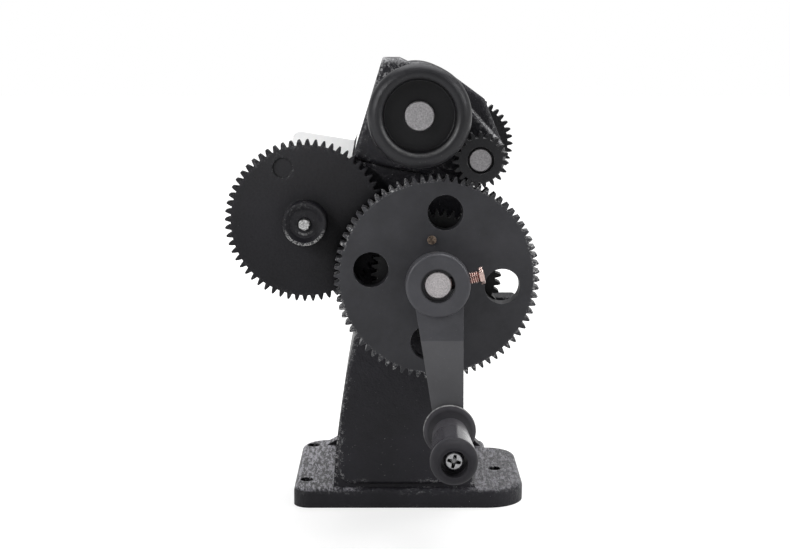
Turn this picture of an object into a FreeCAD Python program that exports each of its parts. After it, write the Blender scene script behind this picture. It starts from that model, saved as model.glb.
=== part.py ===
# Hand winding machine: a cast-iron stand with a crank, a geared-up winding spindle and a turns counter.
# Millimetres. X runs across the base, Y from the crank side to the winding side, Z up.
# The origin is the middle of the base at the surface that it stands on.
import FreeCAD, Part
import math
import os

import Sketcher
from FreeCAD import Placement, Rotation, Vector

doc = FreeCAD.newDocument("hand_winding_machine")
sheet = doc.addObject("Spreadsheet::Sheet", "sizes")


# Sizes: a number together with the sheet formula that gives it

class Size:
    def __init__(self, number, formula):
        self.number = float(number)
        self.formula = formula

    def __float__(self):
        return self.number

    def combine(self, number, sign, left, right):
        return Size(number, "(%s %s %s)" % (formula_of(left), sign, formula_of(right)))

    def __add__(self, other):
        return self.combine(self.number + float(other), "+", self, other)

    def __radd__(self, other):
        return self.combine(float(other) + self.number, "+", other, self)

    def __sub__(self, other):
        return self.combine(self.number - float(other), "-", self, other)

    def __rsub__(self, other):
        return self.combine(float(other) - self.number, "-", other, self)

    def __mul__(self, other):
        return self.combine(self.number * float(other), "*", self, other)

    def __rmul__(self, other):
        return self.combine(float(other) * self.number, "*", other, self)

    def __truediv__(self, other):
        return self.combine(self.number / float(other), "/", self, other)

    def __neg__(self):
        return Size(-self.number, "(0 - %s)" % self.formula)


def formula_of(value):
    if isinstance(value, Size):
        return value.formula
    return repr(float(value))


sheet_rows = []


def size(alias, number):
    sheet_rows.append(alias)
    cell = "B%d" % len(sheet_rows)
    sheet.set("A%d" % len(sheet_rows), alias)
    sheet.set(cell, repr(float(number)))
    sheet.setAlias(cell, alias)
    return Size(number, "sizes." + alias)


def polar(radius, degrees):
    angle = math.radians(float(degrees))
    return float(radius) * math.cos(angle), float(radius) * math.sin(angle)


# Driving dimensions: the gear train

gear_module = size("gear_module", 1.25)
gear_pressure_angle = size("gear_pressure_angle", 20)
tooth_play = size("tooth_play", 0.12)
crank_gear_teeth = size("crank_gear_teeth", 76)
drive_gear_teeth = size("drive_gear_teeth", 48)
counter_gear_teeth = size("counter_gear_teeth", 60)
lay_pinion_teeth = size("lay_pinion_teeth", 19)
lay_gear_teeth = size("lay_gear_teeth", 38)
spindle_pinion_teeth = size("spindle_pinion_teeth", 19)
count_gear_module = size("count_gear_module", 1)
count_gear_teeth = size("count_gear_teeth", 20)
crank_gear_phase = size("crank_gear_phase", -1.16)
counter_gear_phase = size("counter_gear_phase", -1.2)
lay_gear_phase = size("lay_gear_phase", -0.69)

# Driving dimensions: where the axes lie

crank_x = size("crank_x", 13.5)
crank_z = size("crank_z", 121.25)
lay_direction = size("lay_direction", 70)
spindle_direction = size("spindle_direction", 143.9)
counter_direction = size("counter_direction", 157.45)

# Driving dimensions: the frame casting

base_width = size("base_width", 116.8)
base_middle = size("base_middle", 0.9)
base_thickness = size("base_thickness", 9.5)
base_front = size("base_front", -40)
base_back_left = size("base_back_left", 57)
base_back_right = size("base_back_right", 41)
base_step_width = size("base_step_width", 15.3)
base_inner_corner = size("base_inner_corner", 6)
base_front_corner = size("base_front_corner", 8)
base_front_right_corner = size("base_front_right_corner", 19)
base_back_corner = size("base_back_corner", 15)
base_right_corner = size("base_right_corner", 15)
base_edge_round = size("base_edge_round", 2.6)
mount_hole_radius = size("mount_hole_radius", 3.4)
mount_left_inset = size("mount_left_inset", 6)
mount_left_front_y = size("mount_left_front_y", -22)
mount_left_back_y = size("mount_left_back_y", 44)
mount_right_inset = size("mount_right_inset", 13)
mount_right_y = size("mount_right_y", -2)
column_middle = size("column_middle", -0.5)
column_front = size("column_front", -38)
column_back = size("column_back", 52)
foot_reach = size("foot_reach", 37)
foot_step = size("foot_step", 2)
foot_corner = size("foot_corner", 7)
foot_corner_height = size("foot_corner_height", 12)
flank_reach = size("flank_reach", 33.4)
flank_height = size("flank_height", 46)
shoulder_reach = size("shoulder_reach", 26)
shoulder_height = size("shoulder_height", 87)
neck_left_reach = size("neck_left_reach", 12)
neck_height = size("neck_height", 172)
neck_right_reach = size("neck_right_reach", 28)
neck_right_height = size("neck_right_height", 150)
right_flank = size("right_flank", 26.3)
right_flank_top = size("right_flank_top", 121)
right_flank_bottom = size("right_flank_bottom", 53)
right_bow = size("right_bow", 28.7)
right_bow_height = size("right_bow_height", 29)
rear_gusset_top = size("rear_gusset_top", 20)
rear_gusset_left = size("rear_gusset_left", 30.5)
rear_gusset_inset = size("rear_gusset_inset", 2.5)
rear_gusset_front = size("rear_gusset_front", 42)
rear_gusset_back = size("rear_gusset_back", 51)
rear_ridge_reach = size("rear_ridge_reach", 12)
rear_ridge_rise = size("rear_ridge_rise", 3.5)
lug_reach = size("lug_reach", 57)
lug_top = size("lug_top", 106.8)
lug_height = size("lug_height", 12)
lug_front = size("lug_front", -36)
lug_back = size("lug_back", -20)
cavity_web = size("cavity_web", 8)
column_edge_round = size("column_edge_round", 1.4)
head_edge_round = size("head_edge_round", 2.2)
casting_wall = size("casting_wall", 8)
cavity_height = size("cavity_height", 92)
head_back = size("head_back", 55)
head_front = size("head_front", -40.5)
nose_front = size("nose_front", -44)
ear_left = size("ear_left", -12.3)
ear_right = size("ear_right", -3.5)
ear_height = size("ear_height", 224)
wing_left = size("wing_left", -26.8)
wing_height = size("wing_height", 176.7)
head_margin = size("head_margin", 24.2)
head_edge_length = size("head_edge_length", 22)
lay_boss_radius = size("lay_boss_radius", 13.6)
spindle_boss_radius = size("spindle_boss_radius", 19.3)
nose_draft = size("nose_draft", 25)
crank_boss_radius = size("crank_boss_radius", 13)
boss_height = size("boss_height", 3)
crank_boss_front = size("crank_boss_front", -47)

# Driving dimensions: shafts and bushes

crank_shaft_radius = size("crank_shaft_radius", 6.4)
lay_shaft_radius = size("lay_shaft_radius", 5.5)
spindle_radius = size("spindle_radius", 6.9)
rod_radius = size("rod_radius", 5)
running_clearance = size("running_clearance", 0.06)
end_play = size("end_play", 0.3)
bush_wall = size("bush_wall", 3)
bush_length = size("bush_length", 18)
bush_lip = size("bush_lip", 0.4)
shaft_chamfer = size("shaft_chamfer", 0.5)
set_screw_radius = size("set_screw_radius", 2)

# Driving dimensions: the crank side

crank_gear_width = size("crank_gear_width", 10)
drive_gear_width = size("drive_gear_width", 8)
drive_gear_back = size("drive_gear_back", -48)
web_hole_radius = size("web_hole_radius", 8.4)
web_hole_circle = size("web_hole_circle", 31.4)
web_hole_angle = size("web_hole_angle", 82.7)
gear_screw_circle = size("gear_screw_circle", 18.4)
gear_screw_angle = size("gear_screw_angle", 97.5)
gear_screw_radius = size("gear_screw_radius", 1.5)
gear_screw_head = size("gear_screw_head", 2.1)
gear_screw_head_height = size("gear_screw_head_height", 1)
gear_screw_floor = size("gear_screw_floor", 2)
crank_angle = size("crank_angle", 4.7)
crank_radius = size("crank_radius", 68.2)
hub_radius = size("hub_radius", 15)
hub_neck_radius = size("hub_neck_radius", 10.8)
hub_front = size("hub_front", -90)
hub_round = size("hub_round", 1.6)
hub_relief_width = size("hub_relief_width", 1.4)
hub_relief_depth = size("hub_relief_depth", 3.4)
crank_shaft_recess = size("crank_shaft_recess", 3)
arm_front = size("arm_front", -87.5)
arm_thickness = size("arm_thickness", 5.6)
arm_kink = size("arm_kink", 26)
arm_offset = size("arm_offset", 0.5)
arm_boss_height = size("arm_boss_height", 0.3)
arm_root_half = size("arm_root_half", 11.9)
arm_end_half = size("arm_end_half", 6.6)
arm_boss_radius = size("arm_boss_radius", 7.5)
clamp_screw_rise = size("clamp_screw_rise", 4.5)
clamp_screw_radius = size("clamp_screw_radius", 3)
clamp_point_radius = size("clamp_point_radius", 1.2)
clamp_point_length = size("clamp_point_length", 2.6)
clamp_thread_length = size("clamp_thread_length", 4.4)
clamp_head_radius = size("clamp_head_radius", 4.1)
clamp_head_height = size("clamp_head_height", 2.3)
grip_flange_radius = size("grip_flange_radius", 12.3)
grip_flange_width = size("grip_flange_width", 1.5)
grip_flare_width = size("grip_flare_width", 7.5)
grip_root_radius = size("grip_root_radius", 8.2)
grip_end_radius = size("grip_end_radius", 10.3)
grip_length = size("grip_length", 57)
grip_end_round = size("grip_end_round", 7)
grip_recess_radius = size("grip_recess_radius", 5.9)
grip_recess_depth = size("grip_recess_depth", 7.6)
grip_screw_radius = size("grip_screw_radius", 3)
grip_screw_head = size("grip_screw_head", 4.5)
grip_screw_head_height = size("grip_screw_head_height", 2.4)
cross_slot_half = size("cross_slot_half", 3)
cross_slot_width = size("cross_slot_width", 1.2)
cross_slot_depth = size("cross_slot_depth", 1.3)
cross_slot_angle = size("cross_slot_angle", -12)
grip_washer_radius = size("grip_washer_radius", 7.5)
grip_washer_width = size("grip_washer_width", 0.6)
collar_radius = size("collar_radius", 11)
collar_width = size("collar_width", 9)
lay_shaft_front = size("lay_shaft_front", -66)
lay_pinion_front = size("lay_pinion_front", -67)
lay_pinion_width = size("lay_pinion_width", 12)
lay_pinion_hub = size("lay_pinion_hub", 8.4)
lay_pinion_screw_radius = size("lay_pinion_screw_radius", 1.5)
lay_relief_width = size("lay_relief_width", 0.8)
lay_relief_depth = size("lay_relief_depth", 3)
wheel_radius = size("wheel_radius", 23.8)
wheel_front = size("wheel_front", -81.2)
wheel_back = size("wheel_back", -67.7)
wheel_crest = size("wheel_crest", 7)
wheel_recess_radius = size("wheel_recess_radius", 16.7)
wheel_recess_depth = size("wheel_recess_depth", 8.5)
wheel_hub_radius = size("wheel_hub_radius", 11)
wheel_rim_round = size("wheel_rim_round", 6)
spindle_front = size("spindle_front", -76)

# Driving dimensions: the winding side

lay_gear_front = size("lay_gear_front", 59)
lay_gear_width = size("lay_gear_width", 8)
lay_gear_hub = size("lay_gear_hub", 10)
lay_gear_hub_width = size("lay_gear_hub_width", 8)
spindle_pinion_margin = size("spindle_pinion_margin", 1)
spindle_pinion_hub = size("spindle_pinion_hub", 10)
spindle_pinion_hub_width = size("spindle_pinion_hub_width", 8)
rod_end = size("rod_end", 176)
rod_pilot_radius = size("rod_pilot_radius", 4)
rod_pilot_length = size("rod_pilot_length", 11)
rod_chamfer = size("rod_chamfer", 1)
cone_large_radius = size("cone_large_radius", 14)
cone_small_radius = size("cone_small_radius", 6.5)
cone_length = size("cone_length", 22)
cone_lip = size("cone_lip", 3)
cone_gap = size("cone_gap", 22)
nut_radius = size("nut_radius", 7)
nut_length = size("nut_length", 9)
wing_reach = size("wing_reach", 15)
wing_thickness = size("wing_thickness", 3)
wing_length = size("wing_length", 11)

# Driving dimensions: the counter, in its own frame along the tilt of the neck

gear_side_gap = size("gear_side_gap", 0.6)
counter_boss_radius = size("counter_boss_radius", 10.3)
counter_boss_front = size("counter_boss_front", -69)
counter_boss_dish = size("counter_boss_dish", 1.8)
counter_shaft_radius = size("counter_shaft_radius", 2.85)
counter_shaft_front = size("counter_shaft_front", -70)
counter_dimple_radius = size("counter_dimple_radius", 4.7)
counter_dimple_circle = size("counter_dimple_circle", 27.7)
counter_dimple_angle = size("counter_dimple_angle", 113)
counter_dimple_depth = size("counter_dimple_depth", 0.8)
housing_front = size("housing_front", -29)
housing_back = size("housing_back", 31)
housing_left = size("housing_left", -13.8)
housing_right = size("housing_right", 13.8)
housing_bottom = size("housing_bottom", -20)
housing_top = size("housing_top", 40.2)
housing_wall = size("housing_wall", 2.2)
housing_corner = size("housing_corner", 4)
housing_boss_radius = size("housing_boss_radius", 7)
housing_boss_front = size("housing_boss_front", -47.6)
window_bottom = size("window_bottom", 14)
window_top = size("window_top", 25)
back_plate_width = size("back_plate_width", 2.5)
back_plate_front = size("back_plate_front", -38)
back_plate_back = size("back_plate_back", 40)
back_plate_half = size("back_plate_half", 17)
counter_pad_depth = size("counter_pad_depth", 20)
counter_pad_bottom = size("counter_pad_bottom", -26)
counter_pad_top = size("counter_pad_top", 31)
counter_pad_foot = size("counter_pad_foot", -38)
counter_screw_row = size("counter_screw_row", 11)
counter_screw_radius = size("counter_screw_radius", 1.9)
counter_screw_head = size("counter_screw_head", 3.4)
counter_screw_head_height = size("counter_screw_head_height", 2.2)
counter_screw_length = size("counter_screw_length", 9)
digit_wheel_radius = size("digit_wheel_radius", 11)
digit_wheel_width = size("digit_wheel_width", 7.4)
digit_wheel_pitch = size("digit_wheel_pitch", 8)
digit_axle_radius = size("digit_axle_radius", 2)
count_gear_width = size("count_gear_width", 5)
knob_radius = size("knob_radius", 8)
knob_length = size("knob_length", 8)


# Places worked out from the sizes above, kept in the sheet so that formulas can use them

def reach(module, teeth, other_teeth):
    return float(module) * (float(teeth) + float(other_teeth)) / 2


lay_dx, lay_dz = polar(reach(gear_module, crank_gear_teeth, lay_pinion_teeth), lay_direction)
lay_x = size("lay_x", float(crank_x) + lay_dx)
lay_z = size("lay_z", float(crank_z) + lay_dz)
spindle_dx, spindle_dz = polar(reach(gear_module, lay_gear_teeth, spindle_pinion_teeth), spindle_direction)
spindle_x = size("spindle_x", float(lay_x) + spindle_dx)
spindle_z = size("spindle_z", float(lay_z) + spindle_dz)
counter_dx, counter_dz = polar(reach(gear_module, drive_gear_teeth, counter_gear_teeth), counter_direction)
counter_x = size("counter_x", float(crank_x) + counter_dx)
counter_z = size("counter_z", float(crank_z) + counter_dz)
flank_run = float(shoulder_reach - column_middle) - float(neck_left_reach)
flank_rise = float(neck_height - shoulder_height)
counter_tilt = size("counter_tilt", math.degrees(math.atan2(flank_run, flank_rise)))
tilt_cos = size("tilt_cos", math.cos(math.radians(float(counter_tilt))))
tilt_sin = size("tilt_sin", math.sin(math.radians(float(counter_tilt))))
digit_axle_height = size("digit_axle_height", reach(count_gear_module, count_gear_teeth, count_gear_teeth))
axle_dx, axle_dz = polar(digit_axle_height, 90 - float(counter_tilt))
axle_x = size("axle_x", float(counter_x) + axle_dx)
axle_z = size("axle_z", float(counter_z) + axle_dz)
handle_dx, handle_dz = polar(crank_radius, -90 - float(crank_angle))
handle_x = size("handle_x", float(crank_x) - handle_dx)
handle_z = size("handle_z", float(crank_z) + handle_dz)

crank_gear_back = drive_gear_back - drive_gear_width
crank_gear_front = crank_gear_back - crank_gear_width
crank_shaft_front = hub_front + crank_shaft_recess
bush_radius = {
    "crank": crank_shaft_radius + bush_wall,
    "lay": lay_shaft_radius + bush_wall,
    "spindle": spindle_radius + bush_wall,
}
crank_axis = (crank_x, crank_z)
lay_axis = (lay_x, lay_z)
spindle_axis = (spindle_x, spindle_z)
counter_axis = (counter_x, counter_z)
handle_axis = (handle_x, handle_z)
axle_axis = (axle_x, axle_z)
origin_axis = (0, 0)
arm_boss_front = arm_front - arm_offset - arm_boss_height
washer_front = arm_boss_front - grip_washer_width
grip_back = washer_front - end_play
grip_front = grip_back - grip_length
head_back_face = head_back + bush_lip
lay_gear_back = lay_gear_front + lay_gear_width
spindle_pinion_front = lay_gear_front - spindle_pinion_margin
spindle_pinion_back = lay_gear_back + spindle_pinion_margin
rod_shoulder = spindle_pinion_back + spindle_pinion_hub_width
inner_cone_tip = rod_shoulder + cone_lip + cone_length
outer_cone_tip = inner_cone_tip + cone_gap
outer_cone_back = outer_cone_tip + cone_length + cone_lip


# Building blocks: each piece is a body whose sketches are tied to the sheet

kept_pieces = {}


def bind(thing, name, value):
    thing.setExpression(name, formula_of(value))


def origin_plane(body, role):
    return [feature for feature in body.Origin.OriginFeatures if feature.Role == role][0]


class Piece:
    """A body on an axis along Y: sketch X is across, sketch Y is Y or up, whichever the plane gives."""

    def __init__(self, label, axis=origin_axis, tilt=0):
        self.body = doc.addObject("PartDesign::Body", label)
        self.body.Label = label
        self.body.AllowCompound = True
        self.body.Placement = Placement(Vector(), Rotation(Vector(0, 1, 0), float(tilt)))
        bind(self.body, ".Placement.Base.x", axis[0])
        bind(self.body, ".Placement.Base.z", axis[1])
        self.count = 0
        kept_pieces[label] = self.body

    def name(self, kind):
        self.count += 1
        return "%s_%s%d" % (self.body.Name, kind, self.count)

    def sketch(self, role, offset=0):
        sketch = self.body.newObject("Sketcher::SketchObject", self.name("sketch"))
        sketch.AttachmentSupport = [(origin_plane(self.body, role), "")]
        sketch.MapMode = "FlatFace"
        bind(sketch, ".AttachmentOffset.Base.z", offset)
        return sketch

    def finish(self, feature):
        self.body.Tip = feature
        doc.recompute()
        return feature

    def revolve(self, profile, kind="PartDesign::Revolution"):
        """Turn a closed profile of (radius, y) points about the piece's own axis."""
        sketch = self.sketch("XY_Plane")
        draw_outline(sketch, profile)
        doc.recompute()
        feature = self.body.newObject(kind, self.name("turned"))
        feature.Profile = sketch
        feature.ReferenceAxis = (sketch, ["V_Axis"])
        feature.Angle = 360
        return self.finish(feature)

    def groove(self, profile):
        return self.revolve(profile, "PartDesign::Groove")

    def prism(self, sketch, kind, length, taper=0):
        doc.recompute()
        feature = self.body.newObject(kind, self.name("prism"))
        feature.Profile = sketch
        bind(feature, "Length", length)
        if float(taper):
            bind(feature, "TaperAngle", taper)
        return self.finish(feature)

    def pad(self, draw, front, back, taper=0):
        """A prism along Y whose face at the back is drawn in X and Z."""
        sketch = self.sketch("XZ_Plane", -as_size(back))
        draw(sketch)
        return self.prism(sketch, "PartDesign::Pad", back - front, taper)

    def pocket(self, draw, front, back):
        sketch = self.sketch("XZ_Plane", -as_size(front))
        draw(sketch)
        return self.prism(sketch, "PartDesign::Pocket", back - front)

    def upright(self, draw, bottom, top):
        """A prism along Z, drawn in X and Y."""
        sketch = self.sketch("XY_Plane", bottom)
        draw(sketch)
        return self.prism(sketch, "PartDesign::Pad", top - bottom)

    def upright_pocket(self, draw, bottom, top):
        sketch = self.sketch("XY_Plane", top)
        draw(sketch)
        return self.prism(sketch, "PartDesign::Pocket", top - bottom)

    def sideways(self, draw, left, right):
        """A prism along X, drawn in Y and Z."""
        sketch = self.sketch("YZ_Plane", left)
        draw(sketch)
        return self.prism(sketch, "PartDesign::Pad", right - left)

    def sideways_pocket(self, draw, left, right):
        sketch = self.sketch("YZ_Plane", right)
        draw(sketch)
        return self.prism(sketch, "PartDesign::Pocket", right - left)

    def tilted_pocket(self, draw, end, length, tilt):
        """A pocket along a tilted X that ends at a point (x, z), drawn in Y and up from that X."""
        sketch = self.sketch("YZ_Plane")
        sketch.AttachmentOffset = Placement(Vector(), Rotation(Vector(1, 0, 0), float(tilt)))
        bind(sketch, ".AttachmentOffset.Base.y", end[1])
        bind(sketch, ".AttachmentOffset.Base.z", end[0])
        draw(sketch)
        return self.prism(sketch, "PartDesign::Pocket", length)

    def soften(self, feature, chosen, radius):
        """Round every edge whose two ends pass the test."""
        names = []
        for index, edge in enumerate(feature.Shape.Edges):
            if all(chosen(vertex.Point) for vertex in edge.Vertexes):
                names.append("Edge%d" % (index + 1))
        fillet = self.body.newObject("PartDesign::Fillet", self.name("round"))
        fillet.Base = (feature, names)
        bind(fillet, "Radius", radius)
        return self.finish(fillet)


def as_size(value):
    if isinstance(value, Size):
        return value
    return Size(value, formula_of(value))


def fix_point(sketch, geometry, position, point):
    for kind, value in (("DistanceX", point[0]), ("DistanceY", point[1])):
        fixed = sketch.addConstraint(Sketcher.Constraint(kind, -1, 1, geometry, position, float(value)))
        sketch.setExpression("Constraints[%d]" % fixed, formula_of(value))


def draw_circle(sketch, centre, radius):
    circle = Part.Circle(Vector(float(centre[0]), float(centre[1]), 0), Vector(0, 0, 1), float(radius))
    geometry = sketch.addGeometry(circle, False)
    fix_point(sketch, geometry, 3, centre)
    fixed = sketch.addConstraint(Sketcher.Constraint("Radius", geometry, float(radius)))
    sketch.setExpression("Constraints[%d]" % fixed, formula_of(radius))


def circles(*items):
    def draw(sketch):
        for centre, radius in items:
            draw_circle(sketch, centre, radius)
    return draw


def outline(*points):
    def draw(sketch):
        draw_outline(sketch, points)
    return draw


def draw_outline(sketch, points):
    """Close a line through the points. A point (x, y, through) is reached by an arc through `through`."""
    corners = [(float(point[0]), float(point[1])) for point in points]
    ends = []
    for index, corner in enumerate(corners):
        following = (index + 1) % len(corners)
        goal = points[following]
        start = Vector(corner[0], corner[1], 0)
        end = Vector(corners[following][0], corners[following][1], 0)
        if len(goal) == 3:
            middle = Vector(float(goal[2][0]), float(goal[2][1]), 0)
            edge = Part.Arc(start, middle, end)
            geometry = sketch.addGeometry(edge, False)
            swapped = sketch.getPoint(geometry, 1).distanceToPoint(start) > 1e-6
            radius = sketch.Geometry[geometry].Radius
            sketch.addConstraint(Sketcher.Constraint("Radius", geometry, radius))
            ends.append((geometry, 2, 1) if swapped else (geometry, 1, 2))
        else:
            geometry = sketch.addGeometry(Part.LineSegment(start, end), False)
            ends.append((geometry, 1, 2))
    for index, (geometry, first, last) in enumerate(ends):
        following = ends[(index + 1) % len(ends)]
        sketch.addConstraint(Sketcher.Constraint("Coincident", geometry, last, following[0], following[1]))
        fix_point(sketch, geometry, first, points[index])


def rounded(points):
    """Replace each corner (x, y, radius) by an arc tangent to its two sides."""
    result = []
    total = len(points)
    for index, (x, y, radius) in enumerate(points):
        here = Vector(float(x), float(y), 0)
        before = points[index - 1]
        after = points[(index + 1) % total]
        if float(radius) == 0:
            result.append((x, y))
            continue
        back = (Vector(float(before[0]), float(before[1]), 0) - here).normalize()
        ahead = (Vector(float(after[0]), float(after[1]), 0) - here).normalize()
        half = back.getAngle(ahead) / 2
        away = float(radius) / math.tan(half)
        bisector = (back + ahead).normalize()
        middle = here + bisector * (float(radius) / math.sin(half) - float(radius))
        start = here + back * away
        end = here + ahead * away
        result.append((start.x, start.y))
        result.append((end.x, end.y, (middle.x, middle.y)))
    return result


def bar_profile(inner, outer, start, end, chamfer=0):
    """Half section of a bar or ring with chamfered outer corners."""
    if float(chamfer) == 0:
        return ((inner, start), (outer, start), (outer, end), (inner, end))
    return (
        (inner, start),
        (outer - chamfer, start),
        (outer, start + chamfer),
        (outer, end - chamfer),
        (outer - chamfer, end),
        (inner, end),
    )


def stretch(piece, radius, start, end, bore=0, chamfer=0):
    """Add a round bar or ring from start to end along the piece's axis."""
    return piece.revolve(bar_profile(bore, radius, as_size(start), as_size(end), chamfer))


# Gears: involute flanks from the module, the tooth count and the pressure angle

def involute(angle):
    return math.tan(angle) - angle


def gear_outline(teeth, module, phase):
    pressure = math.radians(float(gear_pressure_angle))
    pitch_radius = module * teeth / 2
    base_radius = pitch_radius * math.cos(pressure)
    tip_radius = pitch_radius + module
    root_radius = pitch_radius - 1.25 * module
    half_at_pitch = math.pi / (2 * teeth) - float(tooth_play) / pitch_radius

    def half_angle(radius):
        roll = math.acos(min(1, base_radius / radius))
        return half_at_pitch + involute(pressure) - involute(roll)

    foot_radius = max(base_radius, root_radius)
    flank = [(radius, half_angle(radius)) for radius in (foot_radius, pitch_radius, tip_radius)]
    if root_radius < base_radius:
        flank.insert(0, (root_radius, half_angle(base_radius)))
    points = []
    for tooth in range(teeth):
        middle = math.radians(phase) + 2 * math.pi * tooth / teeth
        for radius, half in flank:
            points.append((radius, middle - half))
        for radius, half in reversed(flank):
            points.append((radius, middle + half))
    return [Vector(radius * math.cos(angle), 0, radius * math.sin(angle)) for radius, angle in points]


def toothed_disc(teeth, module, phase, front, back):
    corners = gear_outline(int(round(float(teeth))), float(module), float(phase))
    face = Part.Face(Part.makePolygon(corners + corners[:1]))
    face.translate(Vector(0, float(front), 0))
    return face.extrude(Vector(0, float(back) - float(front), 0))


def round_bar(radius, front, back, centre=(0, 0)):
    start = Vector(centre[0], float(front), centre[1])
    return Part.makeCylinder(float(radius), float(back) - float(front), start, Vector(0, 1, 0))


def conical_bar(front_radius, back_radius, front, back):
    start = Vector(0, float(front), 0)
    length = float(back) - float(front)
    return Part.makeCone(float(front_radius), float(back_radius), length, start, Vector(0, 1, 0))


def radial_hole(radius, y, reach_out, direction=Vector(0, 0, 1)):
    return Part.makeCylinder(float(radius), float(reach_out), Vector(0, float(y), 0), direction)


def keep_shape(label, shape, axis):
    feature = doc.addObject("Part::Feature", label)
    feature.Label = label
    feature.Shape = shape
    feature.Placement = Placement(Vector(float(axis[0]), 0, float(axis[1])), Rotation())
    kept_pieces[label] = feature
    return feature


def meshing_phase(phase, teeth, direction, other_teeth):
    """Phase of a gear that puts its tooth space on the other gear's tooth."""
    teeth_turned = (float(direction) - float(phase)) * float(teeth) / 360
    return float(direction) + 180 - 360 / float(other_teeth) * (0.5 - teeth_turned)


def phase_of_driver(phase, teeth, direction, driver_teeth):
    """Phase of a driving gear that meets a driven gear of known phase."""
    return meshing_phase(phase, teeth, float(direction) + 180, driver_teeth)


# Frame casting

def place_between(first, second, height):
    """Point at the given height on the line through two points."""
    share = (height - first[1]) / (second[1] - first[1])
    return first[0] + share * (second[0] - first[0]), height


def around(axis, radius, degrees):
    dx, dz = polar(radius, degrees)
    return float(axis[0]) + dx, float(axis[1]) + dz


def neck_foot():
    """Where the neck's left flank meets the underside of the head."""
    left_shoulder = (float(column_middle - shoulder_reach), float(shoulder_height))
    left_neck = (-float(neck_left_reach), float(neck_height))
    return place_between(left_shoulder, left_neck, float(neck_height))


def head_outline():
    edge_direction = float(spindle_direction) + 180
    outward = edge_direction + 90
    edge_start = around(spindle_axis, head_margin, outward)
    run_x, run_z = polar(head_edge_length, edge_direction)
    edge_end = (edge_start[0] + run_x, edge_start[1] + run_z)
    crown_angle = 100
    crown_end_angle = outward - 360
    crown_start = around(spindle_axis, head_margin, crown_angle)
    crown_middle = around(spindle_axis, head_margin, (crown_angle + crown_end_angle) / 2)
    lay_side = around(lay_axis, lay_boss_radius, 15)
    lay_middle = around(lay_axis, lay_boss_radius, -45)
    lay_under = around(lay_axis, lay_boss_radius, -105)
    return {
        "wing": (wing_left, wing_height),
        "ear": (ear_left, ear_height),
        "ear_end": (ear_right, ear_height),
        "crown": crown_start,
        "edge": (edge_start[0], edge_start[1], crown_middle),
        "edge_end": edge_end,
        "lay_side": lay_side,
        "lay_under": (lay_under[0], lay_under[1], lay_middle),
    }


def column_points(bottom):
    """Left and right flanks of the column, from the bottom up to the neck."""
    left_foot = (column_middle - foot_reach, bottom)
    left_flank = (column_middle - flank_reach, flank_height)
    left_shoulder = (column_middle - shoulder_reach, shoulder_height, left_flank)
    right_foot = (column_middle + foot_reach, bottom, (right_bow, right_bow_height))
    return left_foot, left_shoulder, right_foot


def silhouette():
    head = head_outline()
    left_foot, left_shoulder, right_foot = column_points(base_thickness / 2)
    return (
        left_foot,
        left_shoulder,
        neck_foot(),
        head["wing"],
        head["ear"],
        head["ear_end"],
        head["crown"],
        head["edge"],
        head["edge_end"],
        head["lay_side"],
        head["lay_under"],
        (neck_right_reach, neck_right_height),
        (right_flank, right_flank_top),
        (right_flank, right_flank_bottom),
        right_foot,
    )


def front_face():
    """The column's front face, which ends in rounded corners above the base."""
    left_foot, left_shoulder, right_foot = column_points(foot_corner_height)
    neck = neck_foot()
    low = float(foot_corner_height)
    corner = float(foot_corner)
    left = float(column_middle) - float(flank_reach) - 1
    right = float(right_bow) + 1
    cut = corner * (1 - math.sqrt(0.5))
    flank_z = float(flank_height)
    return (
        (left, low + corner),
        (left + 1, flank_z),
        left_shoulder[:2],
        neck,
        (float(wing_left) / 2 + neck[0] / 2, neck[1] + 1.5),
        (float(spindle_x), float(spindle_z)),
        (float(lay_x), float(lay_z)),
        (neck_right_reach, neck_right_height),
        (right_flank, right_flank_top),
        (right_flank, right_flank_bottom),
        (right, low + corner),
        (right - corner, low, (right - cut, low + cut)),
        (left + corner, low),
        (left, low + corner, (left + cut, low + cut)),
    )[:-1], (left + cut, low + cut)


def head_plate():
    head = head_outline()
    return (
        neck_foot(),
        head["wing"],
        head["ear"],
        head["ear_end"],
        head["crown"],
        head["edge"],
        head["edge_end"],
        head["lay_side"],
        head["lay_under"],
    )


def nose_outline():
    """Tangent outline round the spindle and lay bearings."""
    large = float(spindle_boss_radius)
    small = float(lay_boss_radius)
    between = reach(gear_module, lay_gear_teeth, spindle_pinion_teeth)
    towards = float(spindle_direction) + 180
    spread = math.degrees(math.acos((large - small) / between))
    return (
        around(spindle_axis, large, towards + spread),
        around(lay_axis, small, towards + spread),
        around(lay_axis, small, towards - spread) + (around(lay_axis, small, towards),),
        around(spindle_axis, large, towards - spread),
    ), around(spindle_axis, large, towards + 180)


def closed_by_arc(points, through):
    """Outline whose closing side is an arc: the first point carries the point on that arc."""
    return (tuple(points[0][:2]) + (through,),) + tuple(points[1:])


def from_counter(across, up):
    """A point of the counter's tilted frame, in the frame of the machine."""
    return counter_x + across * tilt_cos + up * tilt_sin, counter_z - across * tilt_sin + up * tilt_cos


def counter_pad_outline():
    """Mounting face for the counter, parallel to the neck's left flank."""
    corners = (
        (housing_right + back_plate_width, counter_pad_bottom),
        (housing_right + back_plate_width, counter_pad_top),
        (housing_right + back_plate_width + counter_pad_depth, counter_pad_top),
        (housing_right + back_plate_width + counter_pad_depth, counter_pad_foot),
        (housing_right + back_plate_width + counter_pad_depth / 2, counter_pad_foot),
    )
    return tuple(from_counter(across, up) for across, up in corners)


def base_outline():
    left = base_middle - base_width / 2
    right = base_middle + base_width / 2
    corners = (
        (left, base_front, base_front_corner),
        (right, base_front, base_front_right_corner),
        (right, base_back_right, base_right_corner),
        (right - base_step_width, base_back_right, 0),
        (right - base_step_width, base_back_left, base_inner_corner),
        (left, base_back_left, base_back_corner),
    )
    return rounded(corners)


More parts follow.
